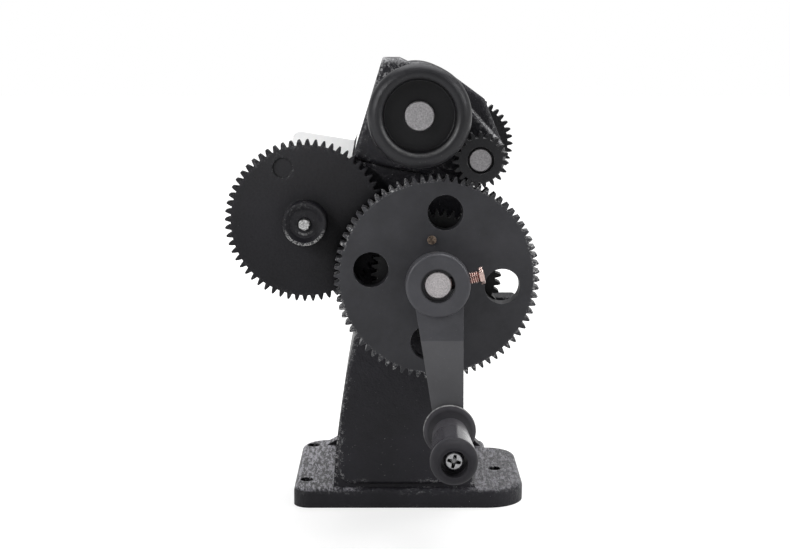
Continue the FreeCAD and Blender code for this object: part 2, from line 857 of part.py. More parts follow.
def cavity_outline():
    left_foot, left_shoulder, right_foot = column_points(0)
    inner_right = right_flank - casting_wall
    return (
        (left_foot[0] + casting_wall, -1),
        (left_shoulder[0] + casting_wall, cavity_height),
        (inner_right, cavity_height),
        (inner_right, right_flank_bottom),
        (right_foot[0] - casting_wall, -1),
    )


def on_plane(position, coordinate):
    """Test for a point that lies on a plane of the machine."""
    def chosen(point):
        return abs(getattr(point, coordinate) - float(position)) < 0.001
    return chosen


def build_frame():
    frame = Piece("frame_casting")
    slab = frame.upright(outline(*base_outline()), 0, base_thickness)
    frame.soften(slab, on_plane(base_thickness, "z"), base_edge_round)
    frame.pad(outline(*silhouette()), column_front + foot_step, column_back)
    face_points, corner_point = front_face()
    face = frame.pad(outline(*closed_by_arc(face_points, corner_point)), column_front, column_front + foot_step)
    frame.soften(face, on_plane(column_front, "y"), column_edge_round)
    gusset_right = base_middle + base_width / 2 - base_step_width - rear_gusset_inset
    frame.pad(outline(
        (right_flank, base_thickness / 2),
        (gusset_right, base_thickness / 2),
        (gusset_right, base_thickness),
        (rear_gusset_left, rear_gusset_top),
        (right_flank, rear_gusset_top),
    ), rear_gusset_front, rear_gusset_back)
    ridge_right = column_middle - flank_reach
    frame.pad(outline(
        (ridge_right - rear_ridge_reach, base_thickness - 1),
        (ridge_right, base_thickness - 1),
        (ridge_right, base_thickness + rear_ridge_rise),
        (ridge_right - rear_ridge_reach / 3, base_thickness + rear_ridge_rise),
    ), column_back - casting_wall, column_back)
    frame.pad(outline(
        (right_flank - 1, lug_top),
        (lug_reach - lug_height / 3, lug_top),
        (lug_reach - lug_height / 3, lug_top - lug_height, (lug_reach, lug_top - lug_height / 2)),
        (right_flank - 1, lug_top - lug_height),
    ), lug_front, lug_back)
    head = frame.pad(outline(*head_plate()), head_front, head_back)
    frame.soften(head, on_plane(head_front, "y"), head_edge_round)
    nose_points, nose_point = nose_outline()
    nose = outline(*closed_by_arc(nose_points, nose_point))
    frame.pad(nose, nose_front, head_front, -nose_draft)
    frame.pad(circles((crank_axis, crank_boss_radius)), crank_boss_front, column_back + boss_height)
    frame.pad(outline(*counter_pad_outline()), back_plate_front, back_plate_back)
    screw_holes = circles(*counter_screw_circles(counter_screw_radius))
    hole_end = from_counter(housing_right + back_plate_width + counter_screw_length, 0)
    frame.tilted_pocket(screw_holes, hole_end, counter_screw_length + 1, counter_tilt)
    half_web = cavity_web / 2
    frame.pocket(outline(*cavity_outline()), column_front + casting_wall, -half_web)
    frame.pocket(outline(*cavity_outline()), half_web, column_back - casting_wall)
    for axis, bush in ((crank_axis, "crank"), (lay_axis, "lay"), (spindle_axis, "spindle")):
        frame.pocket(circles((axis, bush_radius[bush])), crank_boss_front - 1, head_back + boss_height)
    mount_left = base_middle - base_width / 2 + mount_left_inset
    mount_right = base_middle + base_width / 2 - mount_right_inset
    holes = (
        (mount_left, mount_left_front_y),
        (mount_left, mount_left_back_y),
        (mount_right, mount_right_y),
    )
    frame.upright_pocket(circles(*[(hole, mount_hole_radius) for hole in holes]), -1, base_thickness + 1)
    return frame


# Bushes

def build_bush(label, axis, bore, outer, start, end):
    bush = Piece(label, axis)
    stretch(bush, outer, start, end, bore + running_clearance)
    return bush


def build_bushes():
    for name, axis, bore, front, back in (
        ("crank", crank_axis, crank_shaft_radius, crank_boss_front, column_back + boss_height),
        ("lay", lay_axis, lay_shaft_radius, nose_front, head_back),
        ("spindle", spindle_axis, spindle_radius, nose_front, head_back),
    ):
        outer = bush_radius[name]
        build_bush(name + "_front_bush", axis, bore, outer, front - bush_lip, front + bush_length)
        build_bush(name + "_rear_bush", axis, bore, outer, back - bush_length, back + bush_lip)


# Crank shaft, its gears and the collar behind the frame

crank_shaft_back = column_back + boss_height + bush_lip + end_play + collar_width


def build_crank_shaft():
    shaft = Piece("crank_shaft", crank_axis)
    stretch(shaft, crank_shaft_radius, crank_shaft_front, crank_shaft_back + 1, 0, shaft_chamfer)


def gear_screw_places():
    for half_turn in (0, 180):
        yield polar(gear_screw_circle, float(gear_screw_angle) + half_turn)


def build_crank_gears():
    large = toothed_disc(crank_gear_teeth, gear_module, crank_gear_phase, crank_gear_front, crank_gear_back)
    tools = [round_bar(crank_shaft_radius, crank_gear_front - 1, crank_gear_back + 1)]
    for quarter in range(4):
        centre = polar(web_hole_circle, float(web_hole_angle) + 90 * quarter)
        tools.append(round_bar(web_hole_radius, crank_gear_front - 1, crank_gear_back + 1, centre))
    for centre in gear_screw_places():
        tools.append(round_bar(gear_screw_radius, crank_gear_front - 1, crank_gear_back + 1, centre))
    keep_shape("crank_gear", large.cut(tools), crank_axis)

    driver_phase = phase_of_driver(
        counter_gear_phase, counter_gear_teeth, counter_direction, drive_gear_teeth)
    small = toothed_disc(drive_gear_teeth, gear_module, driver_phase, crank_gear_back, drive_gear_back)
    tools = [round_bar(crank_shaft_radius, crank_gear_back - 1, drive_gear_back + 1)]
    for centre in gear_screw_places():
        tools.append(round_bar(gear_screw_radius, crank_gear_back - 1, drive_gear_back - gear_screw_floor, centre))
    keep_shape("counter_drive_gear", small.cut(tools), crank_axis)


def build_gear_screws():
    screws = Piece("gear_screws", crank_axis)
    heads = [(centre, gear_screw_head) for centre in gear_screw_places()]
    shanks = [(centre, gear_screw_radius) for centre in gear_screw_places()]
    screws.pad(circles(*heads), crank_gear_front - gear_screw_head_height, crank_gear_front)
    screws.pad(circles(*shanks), crank_gear_front, drive_gear_back - gear_screw_floor)


def build_collar():
    start = column_back + boss_height + bush_lip + end_play
    end = start + collar_width
    middle = (start + end) / 2
    collar = Piece("crank_collar", crank_axis)
    stretch(collar, collar_radius, start, end, crank_shaft_radius, shaft_chamfer)
    collar.upright_pocket(circles(((0, middle), set_screw_radius)), 0, collar_radius + 1)
    build_set_screw("collar_set_screw", crank_axis, middle, crank_shaft_radius, collar_radius)


def build_set_screw(label, axis, y, start, end, radius=set_screw_radius):
    """Headless screw, radial, from the shaft to just under the face of the hub."""
    screw = Piece(label, axis)
    screw.upright(circles(((0, y), radius)), start, end - 0.4)


# Crank arm, its clamp screw and the grip

hub_screw_y = (hub_front + arm_front + arm_thickness) / 2
handle_height = -crank_radius


def build_crank_arm():
    """Clamp hub and tapered blade, which leans forward below a kink so that it clears the handwheel."""
    arm = Piece("crank_arm", crank_axis, -crank_angle)
    end_front = arm_front - arm_offset
    end_back = end_front + arm_thickness
    arm_back = arm_front + arm_thickness
    tip = handle_height - arm_boss_radius
    arm.pad(outline(
        (-arm_root_half, 0),
        (-arm_end_half, handle_height),
        (-arm_end_half * 0.8, tip + 1.6),
        (arm_end_half * 0.8, tip + 1.6, (0, tip)),
        (arm_end_half, handle_height),
        (arm_root_half, 0),
    ), end_front, arm_back)
    arm.sideways_pocket(outline(
        (end_front - 1, 1),
        (arm_front, 1),
        (arm_front, -arm_kink),
        (end_front, handle_height),
        (end_front - 1, handle_height),
    ), -hub_radius, hub_radius)
    arm.sideways_pocket(outline(
        (arm_back, -arm_kink),
        (end_back, handle_height),
        (end_back, tip - 1),
        (arm_back + 1, tip - 1),
        (arm_back + 1, -arm_kink),
    ), -hub_radius, hub_radius)
    bend = hub_round * 0.293
    arm.revolve((
        (crank_shaft_radius, hub_front),
        (hub_radius - hub_round, hub_front),
        (hub_radius, hub_front + hub_round, (hub_radius - bend, hub_front + bend)),
        (hub_radius, arm_back),
        (hub_neck_radius, arm_back),
        (hub_neck_radius, crank_gear_front),
        (crank_shaft_radius, crank_gear_front),
    ))
    arm.pad(circles(((0, handle_height), arm_boss_radius)), arm_boss_front, end_back)
    arm.pocket(circles(((0, 0), crank_shaft_radius)), hub_front - 1, crank_gear_front + 1)
    relief = crank_shaft_radius + hub_relief_width
    arm.pocket(circles(((0, 0), relief)), hub_front - 1, hub_front + hub_relief_depth)
    arm.pocket(circles(((0, handle_height), grip_screw_radius)), arm_boss_front - 1, end_back + 1)
    end_x, end_z = polar(hub_radius + 1, clamp_screw_rise)
    arm.tilted_pocket(circles(((hub_screw_y, 0), clamp_screw_radius)), (end_x, end_z), hub_radius, -clamp_screw_rise)


def build_clamp_screw():
    thread_end = hub_radius + clamp_thread_length
    direction = -crank_angle - clamp_screw_rise
    screw = Piece("crank_clamp_screw", crank_axis, direction)
    screw_tip = crank_shaft_radius + 0.1
    screw.sideways(circles(((hub_screw_y, 0), clamp_point_radius)), screw_tip, screw_tip + clamp_point_length)
    screw.sideways(circles(((hub_screw_y, 0), clamp_screw_radius)), screw_tip + clamp_point_length, thread_end)
    screw.sideways(circles(((hub_screw_y, 0), clamp_head_radius)), thread_end, thread_end + clamp_head_height)


def hexagon(centre, across_flats):
    corner = float(across_flats) / math.sqrt(3)
    points = []
    for step in range(6):
        across, up = polar(corner, 30 + 60 * step)
        points.append((float(centre[0]) + across, float(centre[1]) + up))
    return outline(*points)


def build_grip():
    """The grip flares from a thin rim, swells, and ends in a round with a recess for the screw head."""
    grip = Piece("grip", handle_axis)
    rim_front = grip_back - grip_flange_width
    flare_front = rim_front - grip_flare_width
    flare_radius = grip_root_radius * 0.66 + grip_flange_radius * 0.34
    bore = grip_screw_radius + running_clearance
    swell_y = (flare_front + grip_front) / 2
    swell_radius = grip_root_radius * 0.42 + grip_end_radius * 0.58
    round_start = grip_front + grip_end_round
    grip.revolve((
        (bore, grip_back),
        (grip_flange_radius - 0.4, grip_back),
        (grip_flange_radius - 0.4, rim_front, (grip_flange_radius, (grip_back + rim_front) / 2)),
        (grip_root_radius, flare_front, (flare_radius, rim_front - grip_flare_width / 2)),
        (grip_end_radius, round_start, (swell_radius, swell_y)),
        (grip_end_radius - 3, grip_front, (grip_end_radius - 0.8, grip_front + 2.2)),
        (grip_recess_radius, grip_front),
        (grip_recess_radius, grip_front + grip_recess_depth),
        (bore, grip_front + grip_recess_depth),
    ))


def cross_outline():
    """Four-armed recess for a screwdriver."""
    narrow = math.atan2(float(cross_slot_width) / 2, float(cross_slot_half))
    points = []
    for arm in range(4):
        direction = float(cross_slot_angle) + 90 * arm
        points.append(polar(cross_slot_half, direction - math.degrees(narrow)))
        points.append(polar(cross_slot_half, direction + math.degrees(narrow)))
        points.append(polar(cross_slot_width, direction + 45))
    return points


def build_grip_fasteners():
    seat = grip_front + grip_recess_depth
    screw_end = arm_front - arm_offset + arm_thickness - 0.5
    screw = Piece("grip_screw", handle_axis)
    head_front = seat - end_play - grip_screw_head_height
    screw.revolve((
        (0, head_front),
        (grip_screw_head * 0.75, head_front),
        (grip_screw_head, head_front + grip_screw_head_height * 0.6,
         (grip_screw_head * 0.94, head_front + grip_screw_head_height * 0.22)),
        (grip_screw_head, seat - end_play),
        (grip_screw_radius, seat - end_play),
        (grip_screw_radius, screw_end),
        (0, screw_end),
    ))
    screw.pocket(outline(*cross_outline()), head_front - 1, head_front + cross_slot_depth)
    washer = Piece("grip_washer", handle_axis)
    stretch(washer, grip_washer_radius, washer_front, arm_boss_front, grip_screw_radius)


# Lay shaft

lay_shaft_back = lay_gear_back + lay_gear_hub_width + 1


def build_lay_shaft():
    shaft = Piece("lay_shaft", lay_axis)
    stretch(shaft, lay_shaft_radius, lay_shaft_front, lay_shaft_back, 0, shaft_chamfer)

    pinion_back = lay_pinion_front + lay_pinion_width
    hub_back = nose_front - bush_lip - end_play
    phase = meshing_phase(crank_gear_phase, crank_gear_teeth, lay_direction, lay_pinion_teeth)
    pinion = toothed_disc(lay_pinion_teeth, gear_module, phase, lay_pinion_front, pinion_back)
    pinion = pinion.fuse(round_bar(lay_pinion_hub, pinion_back, hub_back))
    relief = round_bar(lay_shaft_radius + lay_relief_width, lay_pinion_front - 1, lay_pinion_front + lay_relief_depth)
    screw_y = (pinion_back + hub_back) / 2
    tools = [
        round_bar(lay_shaft_radius, lay_pinion_front - 1, hub_back + 1),
        relief,
        radial_hole(lay_pinion_screw_radius, screw_y, lay_pinion_hub + 1),
    ]
    keep_shape("lay_pinion", pinion.cut(tools), lay_axis)
    screw_size = lay_pinion_screw_radius
    build_set_screw("lay_pinion_set_screw", lay_axis, screw_y, lay_shaft_radius, lay_pinion_hub, screw_size)

    hub_front_face = head_back + bush_lip + end_play
    gear = toothed_disc(lay_gear_teeth, gear_module, lay_gear_phase, lay_gear_front, lay_gear_back)
    hub_end = lay_gear_back + lay_gear_hub_width
    gear = gear.fuse(round_bar(lay_gear_hub, hub_front_face, hub_end))
    screw_y = lay_gear_back + lay_gear_hub_width / 2
    tools = [
        round_bar(lay_shaft_radius, hub_front_face - 1, hub_end + 1),
        radial_hole(set_screw_radius, screw_y, lay_gear_hub + 1),
    ]
    keep_shape("lay_gear", gear.cut(tools), lay_axis)
    build_set_screw("lay_gear_set_screw", lay_axis, screw_y, lay_shaft_radius, lay_gear_hub)


# Spindle, handwheel and the winding end

def build_spindle():
    spindle = Piece("spindle", spindle_axis)
    spindle.revolve((
        (0, spindle_front),
        (spindle_radius - shaft_chamfer, spindle_front),
        (spindle_radius, spindle_front + shaft_chamfer),
        (spindle_radius, rod_shoulder),
        (rod_radius, rod_shoulder),
        (rod_radius, rod_end - rod_pilot_length),
        (rod_pilot_radius, rod_end - rod_pilot_length),
        (rod_pilot_radius, rod_end - rod_chamfer),
        (rod_pilot_radius - rod_chamfer, rod_end),
        (0, rod_end),
    ))


def build_handwheel():
    wheel = Piece("handwheel", spindle_axis)
    hub_back = nose_front - bush_lip - end_play
    floor = wheel_front + wheel_recess_depth
    crest = wheel_front + wheel_crest
    lip = wheel_radius - 3.4
    wheel.revolve((
        (spindle_radius, hub_back),
        (wheel_hub_radius, hub_back),
        (wheel_hub_radius, wheel_back),
        (wheel_radius - wheel_rim_round, wheel_back),
        (wheel_radius, crest, (wheel_radius - 1.75, wheel_back - 1.8)),
        (lip, wheel_front, (wheel_radius - 0.75, wheel_front + 2.1)),
        (wheel_recess_radius, wheel_front + 2.6, (wheel_recess_radius + 1.1, wheel_front + 0.6)),
        (wheel_recess_radius - 0.2, floor - 0.5),
        (wheel_recess_radius - 0.7, floor, (wheel_recess_radius - 0.35, floor - 0.15)),
        (spindle_radius, floor),
    ))
    screw_y = (hub_back + wheel_back) / 2
    wheel.upright_pocket(circles(((0, screw_y), set_screw_radius)), 0, wheel_hub_radius + 1)
    build_set_screw("handwheel_set_screw", spindle_axis, screw_y, spindle_radius, wheel_hub_radius)


def build_spindle_pinion():
    phase = meshing_phase(lay_gear_phase, lay_gear_teeth, spindle_direction, spindle_pinion_teeth)
    pinion = toothed_disc(
        spindle_pinion_teeth, gear_module, phase, spindle_pinion_front, spindle_pinion_back)
    pinion = pinion.fuse(round_bar(spindle_pinion_hub, spindle_pinion_back, rod_shoulder))
    thrust_face = head_back + bush_lip + end_play
    pinion = pinion.fuse(round_bar(spindle_pinion_hub, thrust_face, spindle_pinion_front))
    screw_y = spindle_pinion_back + spindle_pinion_hub_width / 2
    tools = [
        round_bar(spindle_radius, thrust_face - 1, rod_shoulder + 1),
        radial_hole(set_screw_radius, screw_y, spindle_pinion_hub + 1),
    ]
    keep_shape("spindle_pinion", pinion.cut(tools), spindle_axis)
    build_set_screw("pinion_set_screw", spindle_axis, screw_y, spindle_radius, spindle_pinion_hub)


def cone_profile(bore, tip, back):
    lip = cone_lip if float(back) > float(tip) else -cone_lip
    return (
        (bore, tip),
        (cone_small_radius, tip),
        (cone_large_radius, back - lip),
        (cone_large_radius, back),
        (bore, back),
    )


def build_winding_end():
    inner = Piece("inner_cone", spindle_axis)
    inner.revolve(cone_profile(rod_radius, inner_cone_tip, rod_shoulder))
    outer = Piece("outer_cone", spindle_axis)
    outer.revolve(cone_profile(rod_radius + running_clearance, outer_cone_tip, outer_cone_back))
    nut_front = outer_cone_back + end_play
    nut_back = nut_front + nut_length
    nut = Piece("wing_nut", spindle_axis)
    stretch(nut, nut_radius, nut_front, nut_back, rod_radius + running_clearance, shaft_chamfer)
    half = wing_thickness / 2
    wing_front = nut_back - 5
    for side in (1, -1):
        wing = (
            (nut_radius * 0.8 * side, wing_front),
            (wing_reach * side, wing_front + 2),
            (wing_reach * side, wing_front + wing_length),
            (wing_reach * 0.7 * side, wing_front + wing_length),
            (nut_radius * 0.8 * side, nut_back),
        )
        nut.upright(outline(*wing), -half, half)


# Counter: gear, housing, digit wheels and reset knob, along the tilt of the neck

def build_counter_gear():
    back = drive_gear_back
    front = crank_gear_back + gear_side_gap
    gear = toothed_disc(counter_gear_teeth, gear_module, counter_gear_phase, front, back)
    gear = gear.fuse(round_bar(counter_boss_radius, counter_boss_front, front))
    dish_front = counter_boss_front + counter_boss_dish
    dish = conical_bar(counter_boss_radius - 1.2, counter_boss_radius - 3.5, counter_boss_front, dish_front)
    dimple = polar(counter_dimple_circle, counter_dimple_angle)
    screw_y = (counter_boss_front + front) / 2
    tools = [
        round_bar(counter_shaft_radius, counter_boss_front - 1, back + 1),
        dish,
        round_bar(counter_dimple_radius, front, front + counter_dimple_depth, dimple),
        radial_hole(set_screw_radius, screw_y, counter_boss_radius + 1),
    ]
    keep_shape("counter_gear", gear.cut(tools), counter_axis)
    build_set_screw("counter_gear_set_screw", counter_axis, screw_y, counter_shaft_radius, counter_boss_radius)


count_gear_front = housing_front + housing_wall + 1
count_gear_back = count_gear_front + count_gear_width
first_wheel_front = count_gear_back + 0.5


def build_counter_shaft():
    shaft = Piece("counter_shaft", counter_axis)
    stretch(shaft, counter_shaft_radius, counter_shaft_front, count_gear_back + 1, 0, 0.4)
    tilted_up = 90 - float(counter_tilt)
    gear = toothed_disc(count_gear_teeth, count_gear_module, 0, count_gear_front, count_gear_back)
    gear = gear.cut(round_bar(counter_shaft_radius, count_gear_front - 1, count_gear_back + 1))
    keep_shape("count_input_gear", gear, counter_axis)
    phase = meshing_phase(0, count_gear_teeth, tilted_up, count_gear_teeth)
    gear = toothed_disc(count_gear_teeth, count_gear_module, phase, count_gear_front, count_gear_back)
    bore = digit_axle_radius + running_clearance
    gear = gear.cut(round_bar(bore, count_gear_front - 1, count_gear_back + 1))
    wheel_front = as_size(first_wheel_front)
    spacer = round_bar(digit_axle_radius + 3, count_gear_back, wheel_front)
    gear = gear.fuse(spacer.cut(round_bar(bore, count_gear_back - 1, wheel_front + 1)))
    keep_shape("count_units_gear", gear, axle_axis)


def build_digit_wheels():
    names = ("units", "tens", "hundreds", "thousands", "ten_thousands")
    for index, name in enumerate(names):
        front = first_wheel_front + digit_wheel_pitch * index
        wheel = Piece("digit_wheel_" + name, axle_axis, counter_tilt)
        bore = digit_axle_radius + running_clearance
        stretch(wheel, digit_wheel_radius, front, front + digit_wheel_width, bore)


def build_axle_and_knob():
    knob_front = housing_back + end_play
    knob_back = knob_front + knob_length
    axle = Piece("digit_axle", axle_axis, counter_tilt)
    stretch(axle, digit_axle_radius, housing_front + 0.5, knob_back - 1)
    knob = Piece("reset_knob", axle_axis, counter_tilt)
    stretch(knob, knob_radius, knob_front, knob_back, 0, shaft_chamfer)
    knob.pocket(circles(((0, 0), digit_axle_radius)), knob_front - 1, knob_back - 1)


def build_housing():
    housing = Piece("counter_housing", counter_axis, counter_tilt)
    corners = rounded((
        (housing_left, housing_bottom, housing_corner),
        (housing_right, housing_bottom, 0),
        (housing_right, housing_top, 0),
        (housing_left, housing_top, housing_corner),
    ))
    housing.pad(outline(*corners), housing_front, housing_back)
    housing.pad(circles(((0, 0), housing_boss_radius)), housing_boss_front, housing_front)
    wall = housing_wall
    housing.pocket(outline(
        (housing_left + wall, housing_bottom + wall),
        (housing_right + 1, housing_bottom + wall),
        (housing_right + 1, housing_top - wall),
        (housing_left + wall, housing_top - wall),
    ), housing_front + wall, housing_back - wall)
    shaft_hole = counter_shaft_radius + running_clearance
    housing.pocket(circles(((0, 0), shaft_hole)), housing_boss_front - 1, housing_front + wall + 0.5)
    axle_hole = digit_axle_radius + running_clearance
    housing.pocket(circles(((0, digit_axle_height), axle_hole)), housing_front - 1, housing_back + 1)
    housing.sideways_pocket(window_outline(), housing_left - 1, housing_left + wall + 0.5)

    window = Piece("counter_window", counter_axis, counter_tilt)
    window.sideways(window_outline(), housing_left + 0.4, housing_left + 2)

    plate = Piece("counter_back_plate", counter_axis, counter_tilt)
    plate_right = housing_right + back_plate_width
    plate.pad(outline(
        (housing_right, housing_bottom),
        (plate_right, housing_bottom),
        (plate_right, housing_top),
        (housing_right, housing_top),
    ), housing_front, housing_back)
    plate.pad(outline(
        (housing_right, -back_plate_half),
        (plate_right, -back_plate_half),
        (plate_right, back_plate_half),
        (housing_right, back_plate_half),
    ), back_plate_front, back_plate_back)
    plate.sideways_pocket(circles(*counter_screw_circles(counter_screw_radius)), housing_right - 1, plate_right + 1)


def window_outline():
    front = first_wheel_front - 0.3
    back = first_wheel_front + digit_wheel_pitch * 4 + digit_wheel_width + 0.3
    return outline((front, window_bottom), (back, window_bottom), (back, window_top), (front, window_top))


def counter_screw_circles(radius):
    front = (back_plate_front + housing_front) / 2
    back = (back_plate_back + housing_back) / 2
    for y in (front, back):
        for row in (-counter_screw_row, counter_screw_row):
            yield (y, row), radius


def build_counter_screws():
    plate_left = housing_right
    screws = Piece("counter_screws", counter_axis, counter_tilt)
    heads = circles(*counter_screw_circles(counter_screw_head))
    shanks = circles(*counter_screw_circles(counter_screw_radius))
    screws.sideways(heads, plate_left - counter_screw_head_height, plate_left)
    screws.sideways(shanks, plate_left, plate_left + back_plate_width + counter_screw_length)


# Whole machine

build_frame()
build_bushes()
build_crank_shaft()
build_crank_gears()
build_gear_screws()
build_collar()
build_crank_arm()
build_clamp_screw()
build_grip()
build_grip_fasteners()
build_lay_shaft()
build_spindle()
build_handwheel()
build_spindle_pinion()
build_winding_end()
build_counter_gear()
build_counter_shaft()
build_digit_wheels()
build_axle_and_knob()
build_housing()
build_counter_screws()
doc.recompute()

# Checks and export

for item in doc.Objects:
    if "Invalid" in item.State or "Error" in item.State:
        raise RuntimeError("%s failed: %s" % (item.Label, item.State))
for label, piece in kept_pieces.items():
    if piece.Shape.isNull() or not piece.Shape.isValid() or piece.Shape.Volume <= 0:
        raise RuntimeError("%s has no sound shape" % label)

os.makedirs("parts", exist_ok=True)
for label, piece in kept_pieces.items():
    piece.Shape.exportStep(os.path.join("parts", label + ".step"))
    box = piece.Shape.BoundBox
    print("%-24s solids %d volume %9.1f  z %.1f to %.1f" % (
        label, len(piece.Shape.Solids), piece.Shape.Volume, box.ZMin, box.ZMax))
print("pieces", len(kept_pieces))
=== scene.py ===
import math
from collections import namedtuple

import bmesh
import bpy
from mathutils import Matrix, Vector


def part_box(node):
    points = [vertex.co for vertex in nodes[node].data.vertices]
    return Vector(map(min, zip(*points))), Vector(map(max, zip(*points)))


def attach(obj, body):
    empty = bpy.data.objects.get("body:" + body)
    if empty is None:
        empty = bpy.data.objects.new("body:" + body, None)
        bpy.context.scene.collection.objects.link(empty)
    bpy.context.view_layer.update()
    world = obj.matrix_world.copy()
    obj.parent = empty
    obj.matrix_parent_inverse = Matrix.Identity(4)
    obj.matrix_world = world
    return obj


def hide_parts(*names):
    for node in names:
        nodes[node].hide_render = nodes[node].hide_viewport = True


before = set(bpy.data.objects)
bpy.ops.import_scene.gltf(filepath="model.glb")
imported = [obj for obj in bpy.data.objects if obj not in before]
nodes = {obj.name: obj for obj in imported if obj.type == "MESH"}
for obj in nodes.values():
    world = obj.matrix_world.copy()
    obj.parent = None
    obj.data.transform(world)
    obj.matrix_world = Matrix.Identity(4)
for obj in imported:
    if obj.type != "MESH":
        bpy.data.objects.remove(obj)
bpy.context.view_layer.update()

scene = bpy.context.scene


# Camera: slightly above the machine, a long lens, pitched down

camera_place = (-0.00717, -0.7539, 0.2298)
camera_pitch = 81.0
camera_lens = 67.03
camera_sensor = 36
camera_shift = (0.0025, 0.0057)
camera_nearest = 0.01

camera_data = bpy.data.cameras.new("camera")
camera = bpy.data.objects.new("camera", camera_data)
scene.collection.objects.link(camera)
camera.location = camera_place
camera.rotation_euler = (math.radians(camera_pitch), 0, 0)
camera_data.lens = camera_lens
camera_data.sensor_width = camera_sensor
camera_data.shift_x = camera_shift[0]
camera_data.shift_y = camera_shift[1]
camera_data.clip_start = camera_nearest
scene.camera = camera


# Patterns: a noise texture, and the two levels between which a mask made of it goes from 0 to 1

Pattern = namedtuple("Pattern", "scale detail rough levels")

MOST = (0.3, 0.7)
NEARLY_ALL = (0.2, 0.8)
MIDDLE = (0.35, 0.65)
FALLING = (1.0, 0.0)

FINE_LUMPS = Pattern(900, 5, 0.65, MOST)
COARSE_LUMPS = Pattern(190, 5, 0.62, NEARLY_ALL)
PAINT_TONE = Pattern(26, 3, 0.5, MOST)
DUST_SPECKS = Pattern(800, 3, 0.8, (0.47, 0.56))
PAINT_CHIPS = Pattern(620, 5, 0.8, (0.53, 0.58))
CHIPPED_AREAS = Pattern(45, 2, 0.5, (0.42, 0.6))
PALE_SPOTS = Pattern(1300, 2, 0.5, (0.74, 0.78))
EAR_GRIT = Pattern(900, 3, 0.8, (0.53, 0.57))
# Breaks in the painted highlight on the ear's top edge
EAR_CREST_HIGHLIGHT = Pattern(900, 3, 0.8, (0.4, 0.5))
# Breaks in the painted edge highlight on the head
HIGHLIGHT_BREAKS = Pattern(800, 3, 0.8, (0.44, 0.53))
# Breaks in the painted highlight on a boss's rims
BOSS_RIM_BREAKS = Pattern(900, 4, 0.8, (0.45, 0.55))

IRON_GRAIN = Pattern(700, 4, 0.6, MOST)
IRON_TONE = Pattern(60, 4, 0.6, MOST)
IRON_SPOTS = Pattern(1500, 2, 0.5, (0.7, 0.76))
WORN_EDGES = Pattern(350, 4, 0.7, (0.48, 0.62))
# Breaks in the painted highlight round a dip
LIP_HIGHLIGHT_BREAKS = Pattern(500, 3, 0.7, (0.35, 0.6))
BRIGHT_FLECKS = Pattern(1000, 3, 0.75, (0.53, 0.57))
FLECKED_AREAS = Pattern(70, 2, 0.5, (0.4, 0.6))

METAL_GRAIN = Pattern(1800, 3, 0.6, MOST)
RAGGED_EDGE = Pattern(900, 3, 0.7, MOST)

PLASTIC_SMEAR = Pattern(120, 4, 0.6, MIDDLE)
PLASTIC_GRAIN = Pattern(2500, 2, 0.5, MOST)
GRIP_RUBS = Pattern(900, 3, 0.6, (0.3, 0.5))
# Breaks in the painted highlight on the grip's rim
GRIP_LIP_HIGHLIGHT = Pattern(500, 3, 0.6, (0.35, 0.55))
GRIP_GRAIN = Pattern(1500, 3, 0.6, MOST)


# Places on the casting where its paint, painted shade and painted highlights change, in metres from the
# model's origin

DUST_HEIGHTS = (0.02, 0.06)
DUST_SIDES = (-0.03, 0.03)
# The column's middle, and the sides of its painted shade on the base, where the dust thins out
COLUMN_MIDDLE = 0.0035
COLUMN_SHADE_SIDES = (0.027, 0.031)
CHIP_HEIGHTS = (0.004, 0.008)
SHEEN_HEIGHTS = (0.06, 0.1)
GRIT_HEIGHTS = (0.2, 0.212)
GRIT_SIDES = (-0.004, 0.0)
CREST_HEIGHTS = (0.2195, 0.2225)
CREST_SIDES = (0.006, 0.012)


# Colours, and the casts that a grey tone is multiplied by to make one

PAINT_DARK = (1.0, 0.95, 1.3)
PAINT_LIGHT = (2.1, 2.0, 2.7)
DUST_CAST = (1.0, 0.98, 1.08)
# Bare iron, also the pale of painted highlights on casting edges
BARE_IRON_AND_HIGHLIGHT = (0.55, 0.55, 0.56)
# Painted highlight on a boss's lower rims
BOSS_RIM_HIGHLIGHT = (0.4, 0.4, 0.4)
DEEP_SHADE = (0.002, 0.002, 0.002)
IRON_CAST = (1.0, 1.0, 1.12)
IRON_SPOT = (0.3, 0.3, 0.3)
WORN_IRON = (0.5, 0.5, 0.5)
# Painted shade in the middle of a dip
DIP_SHADE = (0.006, 0.006, 0.007)
# Painted highlight on the ring round a dip
LIP_HIGHLIGHT = (0.2, 0.2, 0.2)
# Painted light on a face tilted up
LIT_FACE_IRON = (0.26, 0.26, 0.26)
FLECK = (0.6, 0.6, 0.6)
RAGGED_DARK = (0.03, 0.03, 0.03)
# Painted shade on the grip's flare
GRIP_FLARE_SHADE = (0.004, 0.004, 0.005)
# Rubbed pale, and painted highlight on the grip's rim
GRIP_RUBBED_AND_HIGHLIGHT = (0.36, 0.36, 0.36)
GRIP_NEAR_END = (0.01, 0.01, 0.012)
WORLD_WHITE = (1, 1, 1, 1)
FLOOR_GREY = (0.5, 0.5, 0.5, 1)


# Node helpers

def new_material(name):
    """A new material, its node tree and its shader."""
    material = bpy.data.materials.new(name)
    material.use_nodes = True
    tree = material.node_tree
    shader = tree.nodes["Principled BSDF"]
    return material, tree, shader


def add(tree, kind, **settings):
    """A new node with its settings made."""
    node = tree.nodes.new(kind)
    for name, value in settings.items():
        setattr(node, name, value)
    return node


def link(tree, source, target):
    """Join one node's output to another's input."""
    tree.links.new(source, target)


def coordinates(tree, scale=(1, 1, 1)):
    """The point's place, stretched by a scale along each axis."""
    where = add(tree, "ShaderNodeTexCoord")
    mapping = add(tree, "ShaderNodeMapping")
    mapping.inputs["Scale"].default_value = scale
    link(tree, where.outputs["Object"], mapping.inputs["Vector"])
    return mapping.outputs["Vector"]


